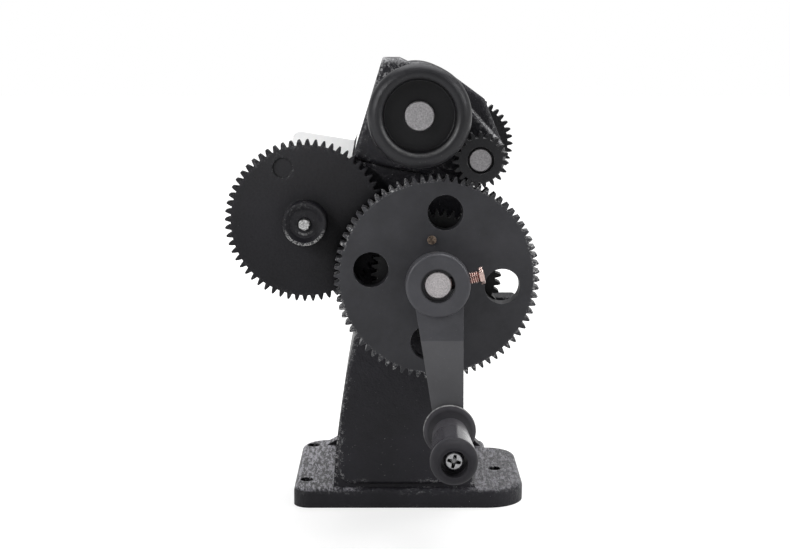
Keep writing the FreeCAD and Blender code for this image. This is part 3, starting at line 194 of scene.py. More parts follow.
def noise(tree, where, pattern):
    """The plain noise of a pattern, about 0 to 1."""
    node = add(tree, "ShaderNodeTexNoise")
    node.inputs["Scale"].default_value = pattern.scale
    node.inputs["Detail"].default_value = pattern.detail
    node.inputs["Roughness"].default_value = pattern.rough
    link(tree, where, node.inputs["Vector"])
    return node.outputs["Fac"]


def ramp(tree, value, limits, ends=(0.0, 1.0)):
    """Map a value between two limits to a value between two ends, clamped."""
    node = add(tree, "ShaderNodeMapRange")
    node.inputs["From Min"].default_value = limits[0]
    node.inputs["From Max"].default_value = limits[1]
    node.inputs["To Min"].default_value = ends[0]
    node.inputs["To Max"].default_value = ends[1]
    link(tree, value, node.inputs["Value"])
    return node.outputs["Result"]


def patches(tree, where, pattern, ends=(0.0, 1.0)):
    """A mask of a pattern: the first end below its levels, the second above them."""
    return ramp(tree, noise(tree, where, pattern), pattern.levels, ends)


def between(tree, mask, plain, masked):
    """One number where a mask is 0, another where it is 1."""
    return ramp(tree, mask, (0, 1), (plain, masked))


def calc(tree, operation, *values):
    """One step of arithmetic on numbers or on other nodes' outputs."""
    node = add(tree, "ShaderNodeMath", operation=operation)
    for index, value in enumerate(values):
        if isinstance(value, (int, float)):
            node.inputs[index].default_value = value
        else:
            link(tree, value, node.inputs[index])
    return node.outputs[0]


def product(tree, result, *others):
    """All the values multiplied together."""
    for other in others:
        result = calc(tree, "MULTIPLY", result, other)
    return result


def largest(tree, result, *others):
    """The largest of the values."""
    for other in others:
        result = calc(tree, "MAXIMUM", result, other)
    return result


def mix_color(tree, factor, first, second):
    """The first colour where a factor is 0, the second where it is 1."""
    node = add(tree, "ShaderNodeMix", data_type="RGBA")
    link(tree, factor, node.inputs["Factor"])
    for name, value in (("A", first), ("B", second)):
        socket = [s for s in node.inputs if s.name == name and s.type == "RGBA"][0]
        if isinstance(value, tuple):
            socket.default_value = value + (1,)
        else:
            link(tree, value, socket)
    return [s for s in node.outputs if s.type == "RGBA"][0]


def scaled(values, factor):
    """A colour or a pair of limits with each number multiplied by a factor."""
    return tuple(value * factor for value in values)


def bump(tree, height, strength, distance, normal=None):
    """The normal of a surface with fine relief on it."""
    node = add(tree, "ShaderNodeBump")
    node.inputs["Strength"].default_value = strength
    node.inputs["Distance"].default_value = distance
    link(tree, height, node.inputs["Height"])
    if normal is not None:
        link(tree, normal, node.inputs["Normal"])
    return node.outputs["Normal"]


def part_of(tree, vector, letter):
    """The X, Y or Z of a vector."""
    split = add(tree, "ShaderNodeSeparateXYZ")
    link(tree, vector, split.inputs[0])
    return split.outputs[letter]


def facing(tree, letter):
    """How far the surface faces along an axis, -1 to 1."""
    geometry = add(tree, "ShaderNodeNewGeometry")
    return part_of(tree, geometry.outputs["True Normal"], letter)


def place(tree, letter):
    """One coordinate of a point, X, Y or Z."""
    where = add(tree, "ShaderNodeTexCoord")
    return part_of(tree, where.outputs["Object"], letter)


def distance_from(tree, axis):
    """Distance of a point from an axis along Y."""
    dx = calc(tree, "SUBTRACT", place(tree, "X"), axis[0])
    dz = calc(tree, "SUBTRACT", place(tree, "Z"), axis[1])
    squared = calc(tree, "ADD", product(tree, dx, dx), product(tree, dz, dz))
    return calc(tree, "SQRT", squared)


def distance_from_line(tree, start, end):
    """Distance of a point from the whole line through two points, each given as X and Z."""
    across = end[0] - start[0]
    up = end[1] - start[1]
    length = math.hypot(across, up)
    dx = calc(tree, "SUBTRACT", place(tree, "X"), start[0])
    dz = calc(tree, "SUBTRACT", place(tree, "Z"), start[1])
    dx = product(tree, dx, up / length)
    dz = product(tree, dz, across / length)
    return calc(tree, "ABSOLUTE", calc(tree, "SUBTRACT", dx, dz))


def depth_below(tree, axis):
    """How far a point lies below an axis along Y."""
    return calc(tree, "SUBTRACT", axis[1], place(tree, "Z"))


def lathe_rings(tree, axis):
    """Fine turning marks: waves of the distance from an axis along Y."""
    pitch = 0.00035
    wave = calc(tree, "SINE", product(tree, distance_from(tree, axis), 2 * math.pi / pitch))
    return ramp(tree, wave, (-1, 1))


def edge_mask(tree, radius):
    """1 near sharp edges, 0 on open faces; and the rounded normal."""
    samples = 6
    flat_to_sharp = (0.995, 0.85)
    geometry = add(tree, "ShaderNodeNewGeometry")
    rounded = add(tree, "ShaderNodeBevel", samples=samples)
    rounded.inputs["Radius"].default_value = radius
    dot = add(tree, "ShaderNodeVectorMath", operation="DOT_PRODUCT")
    link(tree, rounded.outputs[0], dot.inputs[0])
    link(tree, geometry.outputs["True Normal"], dot.inputs[1])
    return ramp(tree, dot.outputs["Value"], flat_to_sharp), rounded.outputs[0]


def covered(tree, reach, limits, inside=False, only_local=True):
    """How closely a point is shut in: by solids outside it, or seen from inside by the solid's skin."""
    samples = 6
    node = add(tree, "ShaderNodeAmbientOcclusion", samples=samples)
    node.inside = inside
    node.only_local = only_local
    node.inputs["Distance"].default_value = reach
    return ramp(tree, calc(tree, "SUBTRACT", 1.0, node.outputs["AO"]), limits)


def outer_edges(tree, reach):
    """1 on convex edges and roundings, seen from inside the solid, 0 on open faces."""
    limits = (0.06, 0.3)
    return covered(tree, reach, limits, inside=True)


# Painted castings

def dust_and_shade_mask(tree, coarse):
    """Specks of dust on faces that look up: most low down and on the left, few beside the column, which
    leaves painted shade of the column there.
    """
    facing_up = (0.5, 0.98)
    stretch = (1, 0.2, 1)
    clump_levels = (0.3, 0.6)
    wander = (-0.006, 0.006)
    off_specks = 0.02
    off_clumps = 0.4
    higher = 0.05
    to_the_right = 0.5
    in_column_shade = 0.1
    up = ramp(tree, facing(tree, "Z"), facing_up)
    specks = patches(tree, coordinates(tree, stretch), DUST_SPECKS, (off_specks, 1.0))
    clumps = ramp(tree, coarse, clump_levels, (off_clumps, 1.0))
    low = ramp(tree, place(tree, "Z"), DUST_HEIGHTS, (1.0, higher))
    left = ramp(tree, place(tree, "X"), DUST_SIDES, (1.0, to_the_right))
    # Fewer specks beside the column: painted shade of the column on the base
    beside = calc(tree, "ABSOLUTE", calc(tree, "SUBTRACT", place(tree, "X"), COLUMN_MIDDLE))
    beside = calc(tree, "ADD", beside, ramp(tree, coarse, NEARLY_ALL, wander))
    beside = ramp(tree, beside, COLUMN_SHADE_SIDES, (in_column_shade, 1.0))
    return product(tree, up, specks, clumps, low, left, beside)


def chip_mask(tree, where, edges, amount):
    """Paint chipped off the edges in places, hardly at the foot, and a few pale spots all over."""
    at_foot = 0.1
    spot_share = 0.6
    chips = patches(tree, where, PAINT_CHIPS)
    areas = patches(tree, where, CHIPPED_AREAS)
    above_foot = ramp(tree, place(tree, "Z"), CHIP_HEIGHTS, (at_foot, 1.0))
    chips = product(tree, chips, edges, areas, above_foot, amount)
    spots = product(tree, patches(tree, where, PALE_SPOTS), amount * spot_share)
    return largest(tree, chips, spots)


def ear_grit_and_highlight_mask(tree, where, edges):
    """Grit on the left of the casting's ear, and a painted highlight along the ear's top edge."""
    grit_strength = 0.45
    crest_gaps = 0.2
    grit = patches(tree, where, EAR_GRIT)
    grit_height = ramp(tree, place(tree, "Z"), GRIT_HEIGHTS)
    grit_side = ramp(tree, place(tree, "X"), GRIT_SIDES, (grit_strength, 0.0))
    grit = product(tree, grit, grit_height, grit_side)
    # Painted highlight: the top edge of the ear drawn pale, as if catching the light
    crest_highlight = patches(tree, where, EAR_CREST_HIGHLIGHT, (crest_gaps, 1.0))
    crest_height = ramp(tree, place(tree, "Z"), CREST_HEIGHTS)
    crest_side = ramp(tree, place(tree, "X"), CREST_SIDES, FALLING)
    crest_highlight = product(tree, edges, crest_height, crest_side, crest_highlight)
    return largest(tree, grit, crest_highlight)


def edge_highlight_mask(tree, where, coarse, start, end):
    """A ragged bright line on a front face, from start on through end: a painted highlight of a lit casting
    edge.
    """
    edge = (0.0004, 0.0009)
    wander = (-0.0005, 0.0005)
    lead_in = 0.003
    strength = 0.65
    gaps = 0.15
    facing_front = (-0.35, -0.12)
    away = distance_from_line(tree, start, end)
    away = calc(tree, "ADD", away, ramp(tree, coarse, NEARLY_ALL, wander))
    line = ramp(tree, away, edge, (strength, 0.0))
    begun = ramp(tree, place(tree, "X"), (start[0] - lead_in, start[0]))
    broken = patches(tree, where, HIGHLIGHT_BREAKS, (gaps, 1.0))
    in_front = ramp(tree, facing(tree, "Y"), facing_front, FALLING)
    return product(tree, line, begun, broken, in_front)


def boss_masks(tree, where, radius, axis):
    """Where a round boss is, and a painted highlight on the lower part of its outer and inner rim, broken
    in places.
    """
    edge = 0.0002
    outer_start = scaled((0.84, 0.88), radius)
    inner_start = scaled((0.4, 0.44), radius)
    inner_end = scaled((0.5, 0.54), radius)
    inner_strength = 0.7
    low_limits = scaled((0.2, 0.6), radius)
    away = distance_from(tree, axis)
    on_boss = ramp(tree, away, (radius - edge, radius), FALLING)
    outer = product(tree, on_boss, ramp(tree, away, outer_start))
    inner = product(tree, ramp(tree, away, inner_start), ramp(tree, away, inner_end, (inner_strength, 0.0)))
    low = ramp(tree, depth_below(tree, axis), low_limits)
    rims = product(tree, largest(tree, outer, inner), low)
    return on_boss, product(tree, patches(tree, where, BOSS_RIM_BREAKS), rims)


def cast_paint(name, dust, chips, shade, tone=0.008, rough=0.4, lumps=1.0, boss=None, highlight_streak=None):
    """Black paint over rough cast iron: dust on top faces, paint off the edges, painted highlights on some
    edges, painted shade in the hollows.

    shade is the limits of the painted shade in the hollows, boss the radius and axis of a rougher round
    boss whose lower rims get a painted highlight, and the streak argument the two ends of a painted
    highlight of a lit edge.
    """
    edge_radius = 0.0013
    edge_reach = 0.003
    shade_reach = 0.03
    shade_strength = 0.8
    facing_up = (0.2, 0.8)
    open_shine = 0.36
    hidden_shine = 0.03
    top_share = 0.15
    smoothest = rough - 0.08
    roughest = rough + 0.14
    dust_roughness = 0.7
    fine_share = 0.35
    dark = scaled(PAINT_DARK, tone)
    light = scaled(PAINT_LIGHT, tone)
    material, tree, shader = new_material(name)
    where = coordinates(tree)
    fine = noise(tree, where, FINE_LUMPS)
    coarse = noise(tree, where, COARSE_LUMPS)
    edges, rounded = edge_mask(tree, edge_radius)
    edges = largest(tree, edges, outer_edges(tree, edge_reach))
    # Dust on top faces, thinned beside the column as painted shade
    dust_and_shade = dust_and_shade_mask(tree, coarse)
    # Bare iron where the paint is chipped, and painted highlights on the ear's top edge and the head's edge
    # line
    bare_and_lit = largest(tree, chip_mask(tree, where, edges, chips), ear_grit_and_highlight_mask(tree, where, edges))
    # A painted highlight: a pale ragged line where a casting edge catches the light
    if highlight_streak is not None:
        bare_and_lit = largest(tree, bare_and_lit, edge_highlight_mask(tree, where, coarse, *highlight_streak))
    tint = mix_color(tree, patches(tree, where, PAINT_TONE), dark, light)
    tint = mix_color(tree, dust_and_shade, tint, scaled(DUST_CAST, dust))
    tint = mix_color(tree, bare_and_lit, tint, BARE_IRON_AND_HIGHLIGHT)
    relief = lumps
    if boss is not None:
        # Painted highlight on the lower rims of the boss
        on_boss, rim_highlight = boss_masks(tree, where, *boss)
        tint = mix_color(tree, rim_highlight, tint, BOSS_RIM_HIGHLIGHT)
        relief = between(tree, on_boss, lumps, 1.0)
    # Painted shade: the paint darkened where other solids close round it
    hidden = covered(tree, shade_reach, shade, only_local=False)
    tint = mix_color(tree, product(tree, hidden, shade_strength), tint, DEEP_SHADE)
    link(tree, tint, shader.inputs["Base Color"])
    up = ramp(tree, facing(tree, "Z"), facing_up)
    high_top = product(tree, up, ramp(tree, place(tree, "Z"), SHEEN_HEIGHTS))
    shine = between(tree, hidden, open_shine, hidden_shine)
    shine = product(tree, shine, between(tree, high_top, 1.0, top_share))
    link(tree, shine, shader.inputs["Specular IOR Level"])
    gloss = ramp(tree, fine, MOST, (smoothest, roughest))
    gloss = largest(tree, gloss, product(tree, dust_and_shade, dust_roughness))
    link(tree, gloss, shader.inputs["Roughness"])
    height = calc(tree, "ADD", coarse, product(tree, fine, fine_share))
    height = product(tree, height, relief)
    relief_normal = bump(tree, height, strength=0.7, distance=0.0011, normal=rounded)
    link(tree, relief_normal, shader.inputs["Normal"])
    return material


# Machined and blackened iron

def lip_highlight_mask(tree, where, axis, radius):
    """A painted highlight on the ring just outside a dip, strongest on its lower side, broken in places."""
    start = (radius - 0.0004, radius + 0.0002)
    end = (radius + 0.0008, radius + 0.0018)
    low_limits = (-0.004, 0.012)
    # Faintest part of the painted highlight
    faintest = 0.4
    away = distance_from(tree, axis)
    outside = ramp(tree, away, start)
    near = ramp(tree, away, end, FALLING)
    low = ramp(tree, depth_below(tree, axis), low_limits)
    breaks = patches(tree, where, LIP_HIGHLIGHT_BREAKS, (faintest, 1.0))
    return product(tree, outside, near, low, breaks)


def dark_machined(name, tone, rough, wear, axis, rings=True, dip=None, lit_lip=None, lit_below=None, flecks=None,
                  top_shine=1.0, crown_below=0.0):
    """Blackened iron: faint lathe rings, pale spots, edges worn lighter.

    dip is the radius of a middle darkened as painted shade and lip the strength of a painted highlight on
    the ring round it, faced the depth below the axis where a face is painted lighter as light on a face
    tilted up, and flecks the radius where bright flecks begin.
    Faces that look up, less than crown_below under the axis, have their shine multiplied by top_shine.
    """
    edge_radius = 0.00035
    metallic = 0.2
    shine = 0.4
    smoothest = rough - 0.06
    roughest = rough + 0.1
    spot_strength = 0.25
    dip_shade_strength = 0.75
    dip_border = 0.0004
    lit_face_strength = 0.2
    face_border = 0.0002
    fleck_border = 0.001
    facing_up = (0.2, 0.9)
    crown_fade = 0.01
    grain_share = 0.6
    ring_share = 0.5
    dark = scaled(IRON_CAST, tone * 0.8)
    light = scaled(IRON_CAST, tone * 1.15)
    material, tree, shader = new_material(name)
    where = coordinates(tree)
    grain = noise(tree, where, IRON_GRAIN)
    edges, rounded = edge_mask(tree, edge_radius)
    tint = mix_color(tree, patches(tree, where, IRON_TONE), dark, light)
    spots = product(tree, patches(tree, where, IRON_SPOTS), spot_strength)
    tint = mix_color(tree, spots, tint, IRON_SPOT)
    worn = product(tree, edges, patches(tree, where, WORN_EDGES), wear)
    tint = mix_color(tree, worn, tint, WORN_IRON)
    # Painted shade: the middle of the dip darkened
    if dip is not None:
        inside = ramp(tree, distance_from(tree, axis), (dip - dip_border, dip + dip_border), FALLING)
        tint = mix_color(tree, product(tree, inside, dip_shade_strength), tint, DIP_SHADE)
    # Painted highlight on the lower side of the ring round the dip
    if lit_lip is not None:
        tint = mix_color(tree, product(tree, lip_highlight_mask(tree, where, axis, dip), lit_lip), tint, LIP_HIGHLIGHT)
    # Painted light: the face below this depth drawn lighter, as on a face tilted up to the light
    if lit_below is not None:
        below = ramp(tree, depth_below(tree, axis), (lit_below - face_border, lit_below + face_border))
        tint = mix_color(tree, product(tree, below, lit_face_strength), tint, LIT_FACE_IRON)
    if flecks is not None:
        outside = ramp(tree, distance_from(tree, axis), (flecks, flecks + fleck_border))
        areas = patches(tree, where, FLECKED_AREAS)
        bright = product(tree, patches(tree, where, BRIGHT_FLECKS), outside, areas)
        tint = mix_color(tree, bright, tint, FLECK)
    link(tree, tint, shader.inputs["Base Color"])
    shader.inputs["Metallic"].default_value = metallic
    shader.inputs["Specular IOR Level"].default_value = shine
    if top_shine != 1.0:
        up = ramp(tree, facing(tree, "Z"), facing_up)
        above = ramp(tree, depth_below(tree, axis), (crown_below - crown_fade, crown_below), FALLING)
        crown = product(tree, up, above)
        link(tree, between(tree, crown, shine, shine * top_shine), shader.inputs["Specular IOR Level"])
    link(tree, ramp(tree, grain, MOST, (smoothest, roughest)), shader.inputs["Roughness"])
    height = grain
    if rings:
        marks = product(tree, lathe_rings(tree, axis), ring_share)
        height = calc(tree, "ADD", product(tree, grain, grain_share), marks)
    relief_normal = bump(tree, height, strength=0.18, distance=0.0003, normal=rounded)
    link(tree, relief_normal, shader.inputs["Normal"])
    return material


# Bare metal

def metal(name, color, rough, axis=(0, 0), stain=0.3, size=1300, slots=None, slot_shade=None, ragged=None):
    """Bare turned metal: lathe rings, staining, brighter edges.

    The rings run round axis, and size is the noise scale of the stains. slots is the reach of the painted
    shade, in the groove colour, into slots and corners, and ragged the radius where an uneven dark border
    begins.
    """
    edge_radius = 0.0003
    edge_strength = 0.6
    slot_limits = (0.12, 0.3)
    wander = (-0.0007, 0.0007)
    border = 0.0004
    smoothest = rough - 0.08
    roughest = rough + 0.12
    ring_share = 0.3
    darker = scaled(color, 1 - stain)
    lighter = tuple(min(1, part * 1.25) for part in color)
    material, tree, shader = new_material(name)
    where = coordinates(tree)
    blotch = noise(tree, where, Pattern(size, 4, 0.75, MIDDLE))
    grain = noise(tree, where, METAL_GRAIN)
    edges, rounded = edge_mask(tree, edge_radius)
    tint = mix_color(tree, ramp(tree, blotch, MIDDLE), darker, color)
    tint = mix_color(tree, product(tree, edges, edge_strength), tint, lighter)
    # Painted shade in slots, grooves and corners
    if slots is not None:
        tint = mix_color(tree, covered(tree, slots, slot_limits), tint, slot_shade)
    if ragged is not None:
        away = calc(tree, "ADD", distance_from(tree, axis), patches(tree, where, RAGGED_EDGE, wander))
        tint = mix_color(tree, ramp(tree, away, (ragged - border, ragged)), tint, RAGGED_DARK)
    link(tree, tint, shader.inputs["Base Color"])
    shader.inputs["Metallic"].default_value = 1.0
    link(tree, ramp(tree, blotch, MOST, (smoothest, roughest)), shader.inputs["Roughness"])
    height = calc(tree, "ADD", product(tree, lathe_rings(tree, axis), ring_share), grain)
    relief_normal = bump(tree, height, strength=0.2, distance=0.0002, normal=rounded)
    link(tree, relief_normal, shader.inputs["Normal"])
    return material


# Plastic

def slightly_lighter(color):
    """The lighter colour of a plastic's smears."""
    return tuple(min(1.0, part * 1.3 + 0.002) for part in color)


def plastic(name, color, rough, clear=0.0):
    """Moulded plastic or smooth paint, faintly smeared. clear is how much light goes through it."""
    marks = 0.05
    material, tree, shader = new_material(name)
    where = coordinates(tree)
    smear = noise(tree, where, PLASTIC_SMEAR)
    grain = noise(tree, where, PLASTIC_GRAIN)
    tint = mix_color(tree, ramp(tree, smear, MIDDLE), color, slightly_lighter(color))
    link(tree, tint, shader.inputs["Base Color"])
    link(tree, ramp(tree, smear, MOST, (rough - marks, rough + marks)), shader.inputs["Roughness"])
    shader.inputs["Transmission Weight"].default_value = clear
    link(tree, bump(tree, grain, strength=0.06, distance=0.0001), shader.inputs["Normal"])
    return material


def axis_of(node):
    """X and Z of the middle of a node, which for a shaft is its axis."""
    low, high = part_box(node)
    return (low[0] + high[0]) / 2, (low[2] + high[2]) / 2


def grip_plastic(name, color):
    """Moulded black plastic: glossy on the shank, dull on the flare and near end, darker near the end,
    painted shade on the flare's face, its flare edges rubbed pale and a painted highlight on the upper rim.
    """
    low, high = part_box("grip")
    axis = axis_of("grip")
    rim = (high[0] - low[0]) / 2
    flare = high[1] - 0.0095
    flare_limits = (flare - 0.001, flare + 0.001)
    fade_limits = (flare - 0.016, flare - 0.002)
    end_limits = (low[1] + 0.004, low[1] + 0.007)
    flare_shade_limits = (rim - 0.0022, rim - 0.0012)
    lip_limits = (rim - 0.0005, rim - 0.0003)
    lip_depths = (-0.006, 0.004)
    edge_radius = 0.0005
    flare_shade_strength = 0.6
    end_strength = 0.45
    lip_below = 0.15
    lip_gaps = 0.3
    glossy = 0.22
    dull = 0.6
    smear_spread = (-0.03, 0.03)
    glossy_shine = 0.4
    dull_shine = 0.12
    shank_grain = 0.05
    flare_grain = 0.6
    material, tree, shader = new_material(name)
    where = coordinates(tree)
    along = place(tree, "Y")
    away = distance_from(tree, axis)
    smear = noise(tree, where, PLASTIC_SMEAR)
    edges = edge_mask(tree, edge_radius)[0]
    on_flare = ramp(tree, along, flare_limits)
    near_end = ramp(tree, along, end_limits, FALLING)
    # Painted shade on the flare's face inside its rim
    flare_shade = product(tree, on_flare, ramp(tree, away, flare_shade_limits, (flare_shade_strength, 0.0)))
    rubbed = product(tree, edges, patches(tree, where, GRIP_RUBS), on_flare)
    # Painted highlight along the upper part of the rim
    lit_lip = ramp(tree, away, lip_limits)
    lip_high = ramp(tree, depth_below(tree, axis), lip_depths, (1.0, lip_below))
    lit_lip = product(tree, lit_lip, lip_high, patches(tree, where, GRIP_LIP_HIGHLIGHT, (lip_gaps, 1.0)))
    tint = mix_color(tree, ramp(tree, smear, MIDDLE), color, slightly_lighter(color))
    tint = mix_color(tree, flare_shade, tint, GRIP_FLARE_SHADE)
    # Pale grey of rubbed flare edges and of the painted rim highlight
    tint = mix_color(tree, largest(tree, rubbed, lit_lip), tint, GRIP_RUBBED_AND_HIGHLIGHT)
    tint = mix_color(tree, product(tree, near_end, end_strength), tint, GRIP_NEAR_END)
    link(tree, tint, shader.inputs["Base Color"])
    fading = ramp(tree, along, fade_limits)
    matte = largest(tree, on_flare, fading, near_end)
    rough = between(tree, matte, glossy, dull)
    rough = calc(tree, "ADD", rough, ramp(tree, smear, MOST, smear_spread))
    link(tree, rough, shader.inputs["Roughness"])
    link(tree, between(tree, matte, glossy_shine, dull_shine), shader.inputs["Specular IOR Level"])
    relief = between(tree, on_flare, shank_grain, flare_grain)
    height = product(tree, noise(tree, where, GRIP_GRAIN), relief)
    link(tree, bump(tree, height, strength=0.5, distance=0.0003), shader.inputs["Normal"])
    return material


# The materials themselves

crank_axis = axis_of("crank_shaft")
spindle_axis = axis_of("spindle")
lay_axis = axis_of("lay_shaft")
counter_axis = axis_of("counter_shaft")

counter_boss = 0.0103
# Ends of a painted highlight line on the head, where a casting edge catches the light
head_edge_highlight = ((0.0303, 0.2), (0.0458, 0.1827))
crank_gear_rim = 0.0452
# Radii of dips darkened as painted shade: the handwheel's recess and the counterbore round the crank shaft
handwheel_dip = 0.0172
arm_dip = 0.0079
# Depth below the crank axis where the arm's face is painted lighter, as light on its tilted lower part
arm_lit_face = 0.026
shaft_low, shaft_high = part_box("counter_shaft")
shaft_end = (shaft_high[0] - shaft_low[0]) / 2 * 0.95
# Colours of painted shade in the copper screw's thread and the chrome screw's slots
copper_slot_shade = (0.2, 0.05, 0.035)
chrome_slot_shade = (0.005, 0.005, 0.005)

casting = cast_paint("casting_paint", dust=0.4, chips=0.7, shade=(0.55, 0.95), highlight_streak=head_edge_highlight)
counter_black = cast_paint("counter_gear_paint", dust=0.05, chips=0.1, shade=(0.3, 0.75), tone=0.0055,
                           rough=0.55, lumps=0.25, boss=(counter_boss, counter_axis))
gear_dark = dark_machined("crank_gear_iron", tone=0.052, rough=0.46, wear=0.6, axis=crank_axis,
                          flecks=crank_gear_rim, top_shine=0.25, crown_below=0.1)
drive_dark = dark_machined("counter_drive_gear_iron", tone=0.012, rough=0.5, wear=0.8, axis=crank_axis)
pinion_dark = dark_machined("lay_pinion_iron", tone=0.02, rough=0.42, wear=0.5, axis=lay_axis)
rear_dark = dark_machined("rear_gear_iron", tone=0.02, rough=0.45, wear=0.5, axis=spindle_axis)
wheel_dark = dark_machined("handwheel_paint", tone=0.026, rough=0.38, wear=0.1, axis=spindle_axis,
                           rings=False, dip=handwheel_dip, lit_lip=0.5, top_shine=0.2)
arm_grey = dark_machined("crank_arm_paint", tone=0.078, rough=0.4, wear=0.3, axis=crank_axis,
                         rings=False, dip=arm_dip, lit_below=arm_lit_face)
steel_crank = metal("crank_shaft_steel", (0.85, 0.81, 0.82), 0.5, crank_axis, stain=0.45)
steel_spindle = metal("spindle_steel", (0.6, 0.585, 0.6), 0.5, spindle_axis, stain=0.5)
steel_lay = metal("lay_shaft_steel", (0.52, 0.505, 0.52), 0.5, lay_axis, stain=0.5)
steel_counter = metal("counter_shaft_steel", (0.85, 0.85, 0.85), 0.4, counter_axis, stain=0.9, size=800)
steel_riveted = metal("counter_shaft_end", (0.95, 0.95, 0.95), 0.4, counter_axis, stain=0.9, size=800,
                      ragged=shaft_end)
bronze = metal("bush_bronze", (0.45, 0.3, 0.16), 0.4)
brass = metal("brass", (0.55, 0.4, 0.2), 0.38)
brass_dark = metal("gear_screw_brass", (0.42, 0.32, 0.25), 0.4, stain=0.85, size=900)
copper = metal("copper_plating", (1.0, 0.74, 0.68), 0.22, slots=0.0008, slot_shade=copper_slot_shade)
chrome = metal("screw_chrome", (0.6, 0.6, 0.61), 0.3, stain=0.35, slots=0.002, slot_shade=chrome_slot_shade)
grip_black = grip_plastic("grip_plastic", (0.046, 0.044, 0.05))
knob_black = plastic("knob_plastic", (0.02, 0.02, 0.021), 0.35)
silver_shell = plastic("counter_shell_paint", (0.97, 0.97, 0.97), 0.6)
digit_white = plastic("digit_wheel_plastic", (0.7, 0.7, 0.68), 0.45)
window_glass = plastic("window_plastic", (0.8, 0.82, 0.83), 0.06, clear=0.85)

dress = {
    "frame_casting": casting,
    "crank_gear": gear_dark,
    "counter_drive_gear": drive_dark,
    "crank_arm": arm_grey,
    "crank_shaft": steel_crank,
    "crank_collar": steel_crank,
    "crank_clamp_screw": copper,
    "gear_screws": brass_dark,
    "grip": grip_black,
    "grip_screw": chrome,
    "grip_washer": steel_crank,
    "lay_shaft": steel_lay,
    "lay_pinion": pinion_dark,
    "lay_gear": pinion_dark,
    "spindle": steel_spindle,
    "handwheel": wheel_dark,
    "spindle_pinion": rear_dark,
    "inner_cone": steel_spindle,
    "outer_cone": steel_spindle,
    "wing_nut": brass,
    "counter_gear": counter_black,
    "counter_shaft": steel_riveted,
    "counter_housing": silver_shell,
    "counter_back_plate": silver_shell,
    "counter_screws": steel_counter,
    "counter_window": window_glass,
    "count_input_gear": brass,
    "count_units_gear": brass,
    "digit_axle": steel_counter,
    "reset_knob": knob_black,
}
for name, node in nodes.items():
    material = dress.get(name)
    if material is None:
        if name.endswith("_bush"):
            material = bronze
        elif name.startswith("digit_wheel"):
            material = digit_white
        else:
            material = steel_crank
    node.data.materials.clear()
    node.data.materials.append(material)


# Copper-plated clamp screw with a cut thread, in place of the plain cylinder

def make_clamp_screw():
    """A threaded shank with a hexagonal head, in the box of the CAD's screw, square to the crank shaft."""
    low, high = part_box("crank_clamp_screw")
    centre = [(a + b) / 2 for a, b in zip(low, high)]
    across = centre[0] - crank_axis[0]
    up = centre[2] - crank_axis[1]
    angle = math.atan2(up, across)
    axis = Vector((math.cos(angle), 0, math.sin(angle)))
    side = Vector((0, 1, 0))
    other = Vector((-math.sin(angle), 0, math.cos(angle)))
    origin = Vector((crank_axis[0], centre[1], crank_axis[1]))
    head_radius = (high[1] - low[1]) / 2
    head_end = (high[0] - crank_axis[0] - head_radius * math.sin(angle)) / math.cos(angle)
    head_height = 0.0023
    corner = 0.0004
    end_corner = corner * 1.6
    thread_radius = 0.003
    thread_depth = 0.0005
    pitch = 0.001
    thread_start = 0.0095
    thread_end = head_end - head_height
    segments = 36
    rows = 150
    full_turn = 2 * math.pi
    side_turn = full_turn / 6
    bm = bmesh.new()

    def ring(distance, radius_at):
        """A ring of points round the screw's axis."""
        made = []
        for step in range(segments):
            turn = full_turn * step / segments
            radius = radius_at(turn)
            made.append(bm.verts.new(origin + axis * distance + side * radius * math.cos(turn)
                                     + other * radius * math.sin(turn)))
        return made

    def hexagon(radius):
        """The radius, at each turn, of a hexagon with its corners on a circle."""
        def radius_at(turn):
            from_side = (turn + side_turn / 2) % side_turn - side_turn / 2
            return radius * math.cos(side_turn / 2) / math.cos(from_side)
        return radius_at

    def thread(distance):
        """The radius, at each turn, of a thread cut at a distance along the axis."""
        def radius_at(turn):
            phase = (distance / pitch - turn / full_turn) % 1
            return thread_radius - thread_depth * (1 - abs(2 * phase - 1))
        return radius_at

    rings = []
    for row in range(rows + 1):
        distance = thread_start + (thread_end - thread_start) * row / rows
        rings.append(ring(distance, thread(distance)))
    rings.append(ring(thread_end, hexagon(head_radius - corner)))
    rings.append(ring(thread_end + corner, hexagon(head_radius)))
    rings.append(ring(head_end - corner, hexagon(head_radius)))
    rings.append(ring(head_end, hexagon(head_radius - end_corner)))
    for first, second in zip(rings, rings[1:]):
        for step in range(segments):
            following = (step + 1) % segments
            bm.faces.new((first[step], first[following], second[following], second[step]))
    bm.faces.new(list(reversed(rings[0])))
    bm.faces.new(rings[-1])
    bmesh.ops.recalc_face_normals(bm, faces=bm.faces[:])
    mesh = bpy.data.meshes.new("clamp_screw_threaded")
    bm.to_mesh(mesh)
    bm.free()
    screw = bpy.data.objects.new("clamp_screw_threaded", mesh)
    scene.collection.objects.link(screw)
    mesh.materials.append(copper)
    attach(screw, "crank")
    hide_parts("crank_clamp_screw")


make_clamp_screw()


# Floor

def seen_directly(tree):
    """1 for rays straight from the camera or through glass, 0 for the light on the object."""
    path = add(tree, "ShaderNodeLightPath")
    return largest(tree, path.outputs["Is Camera Ray"], path.outputs["Is Transmission Ray"])


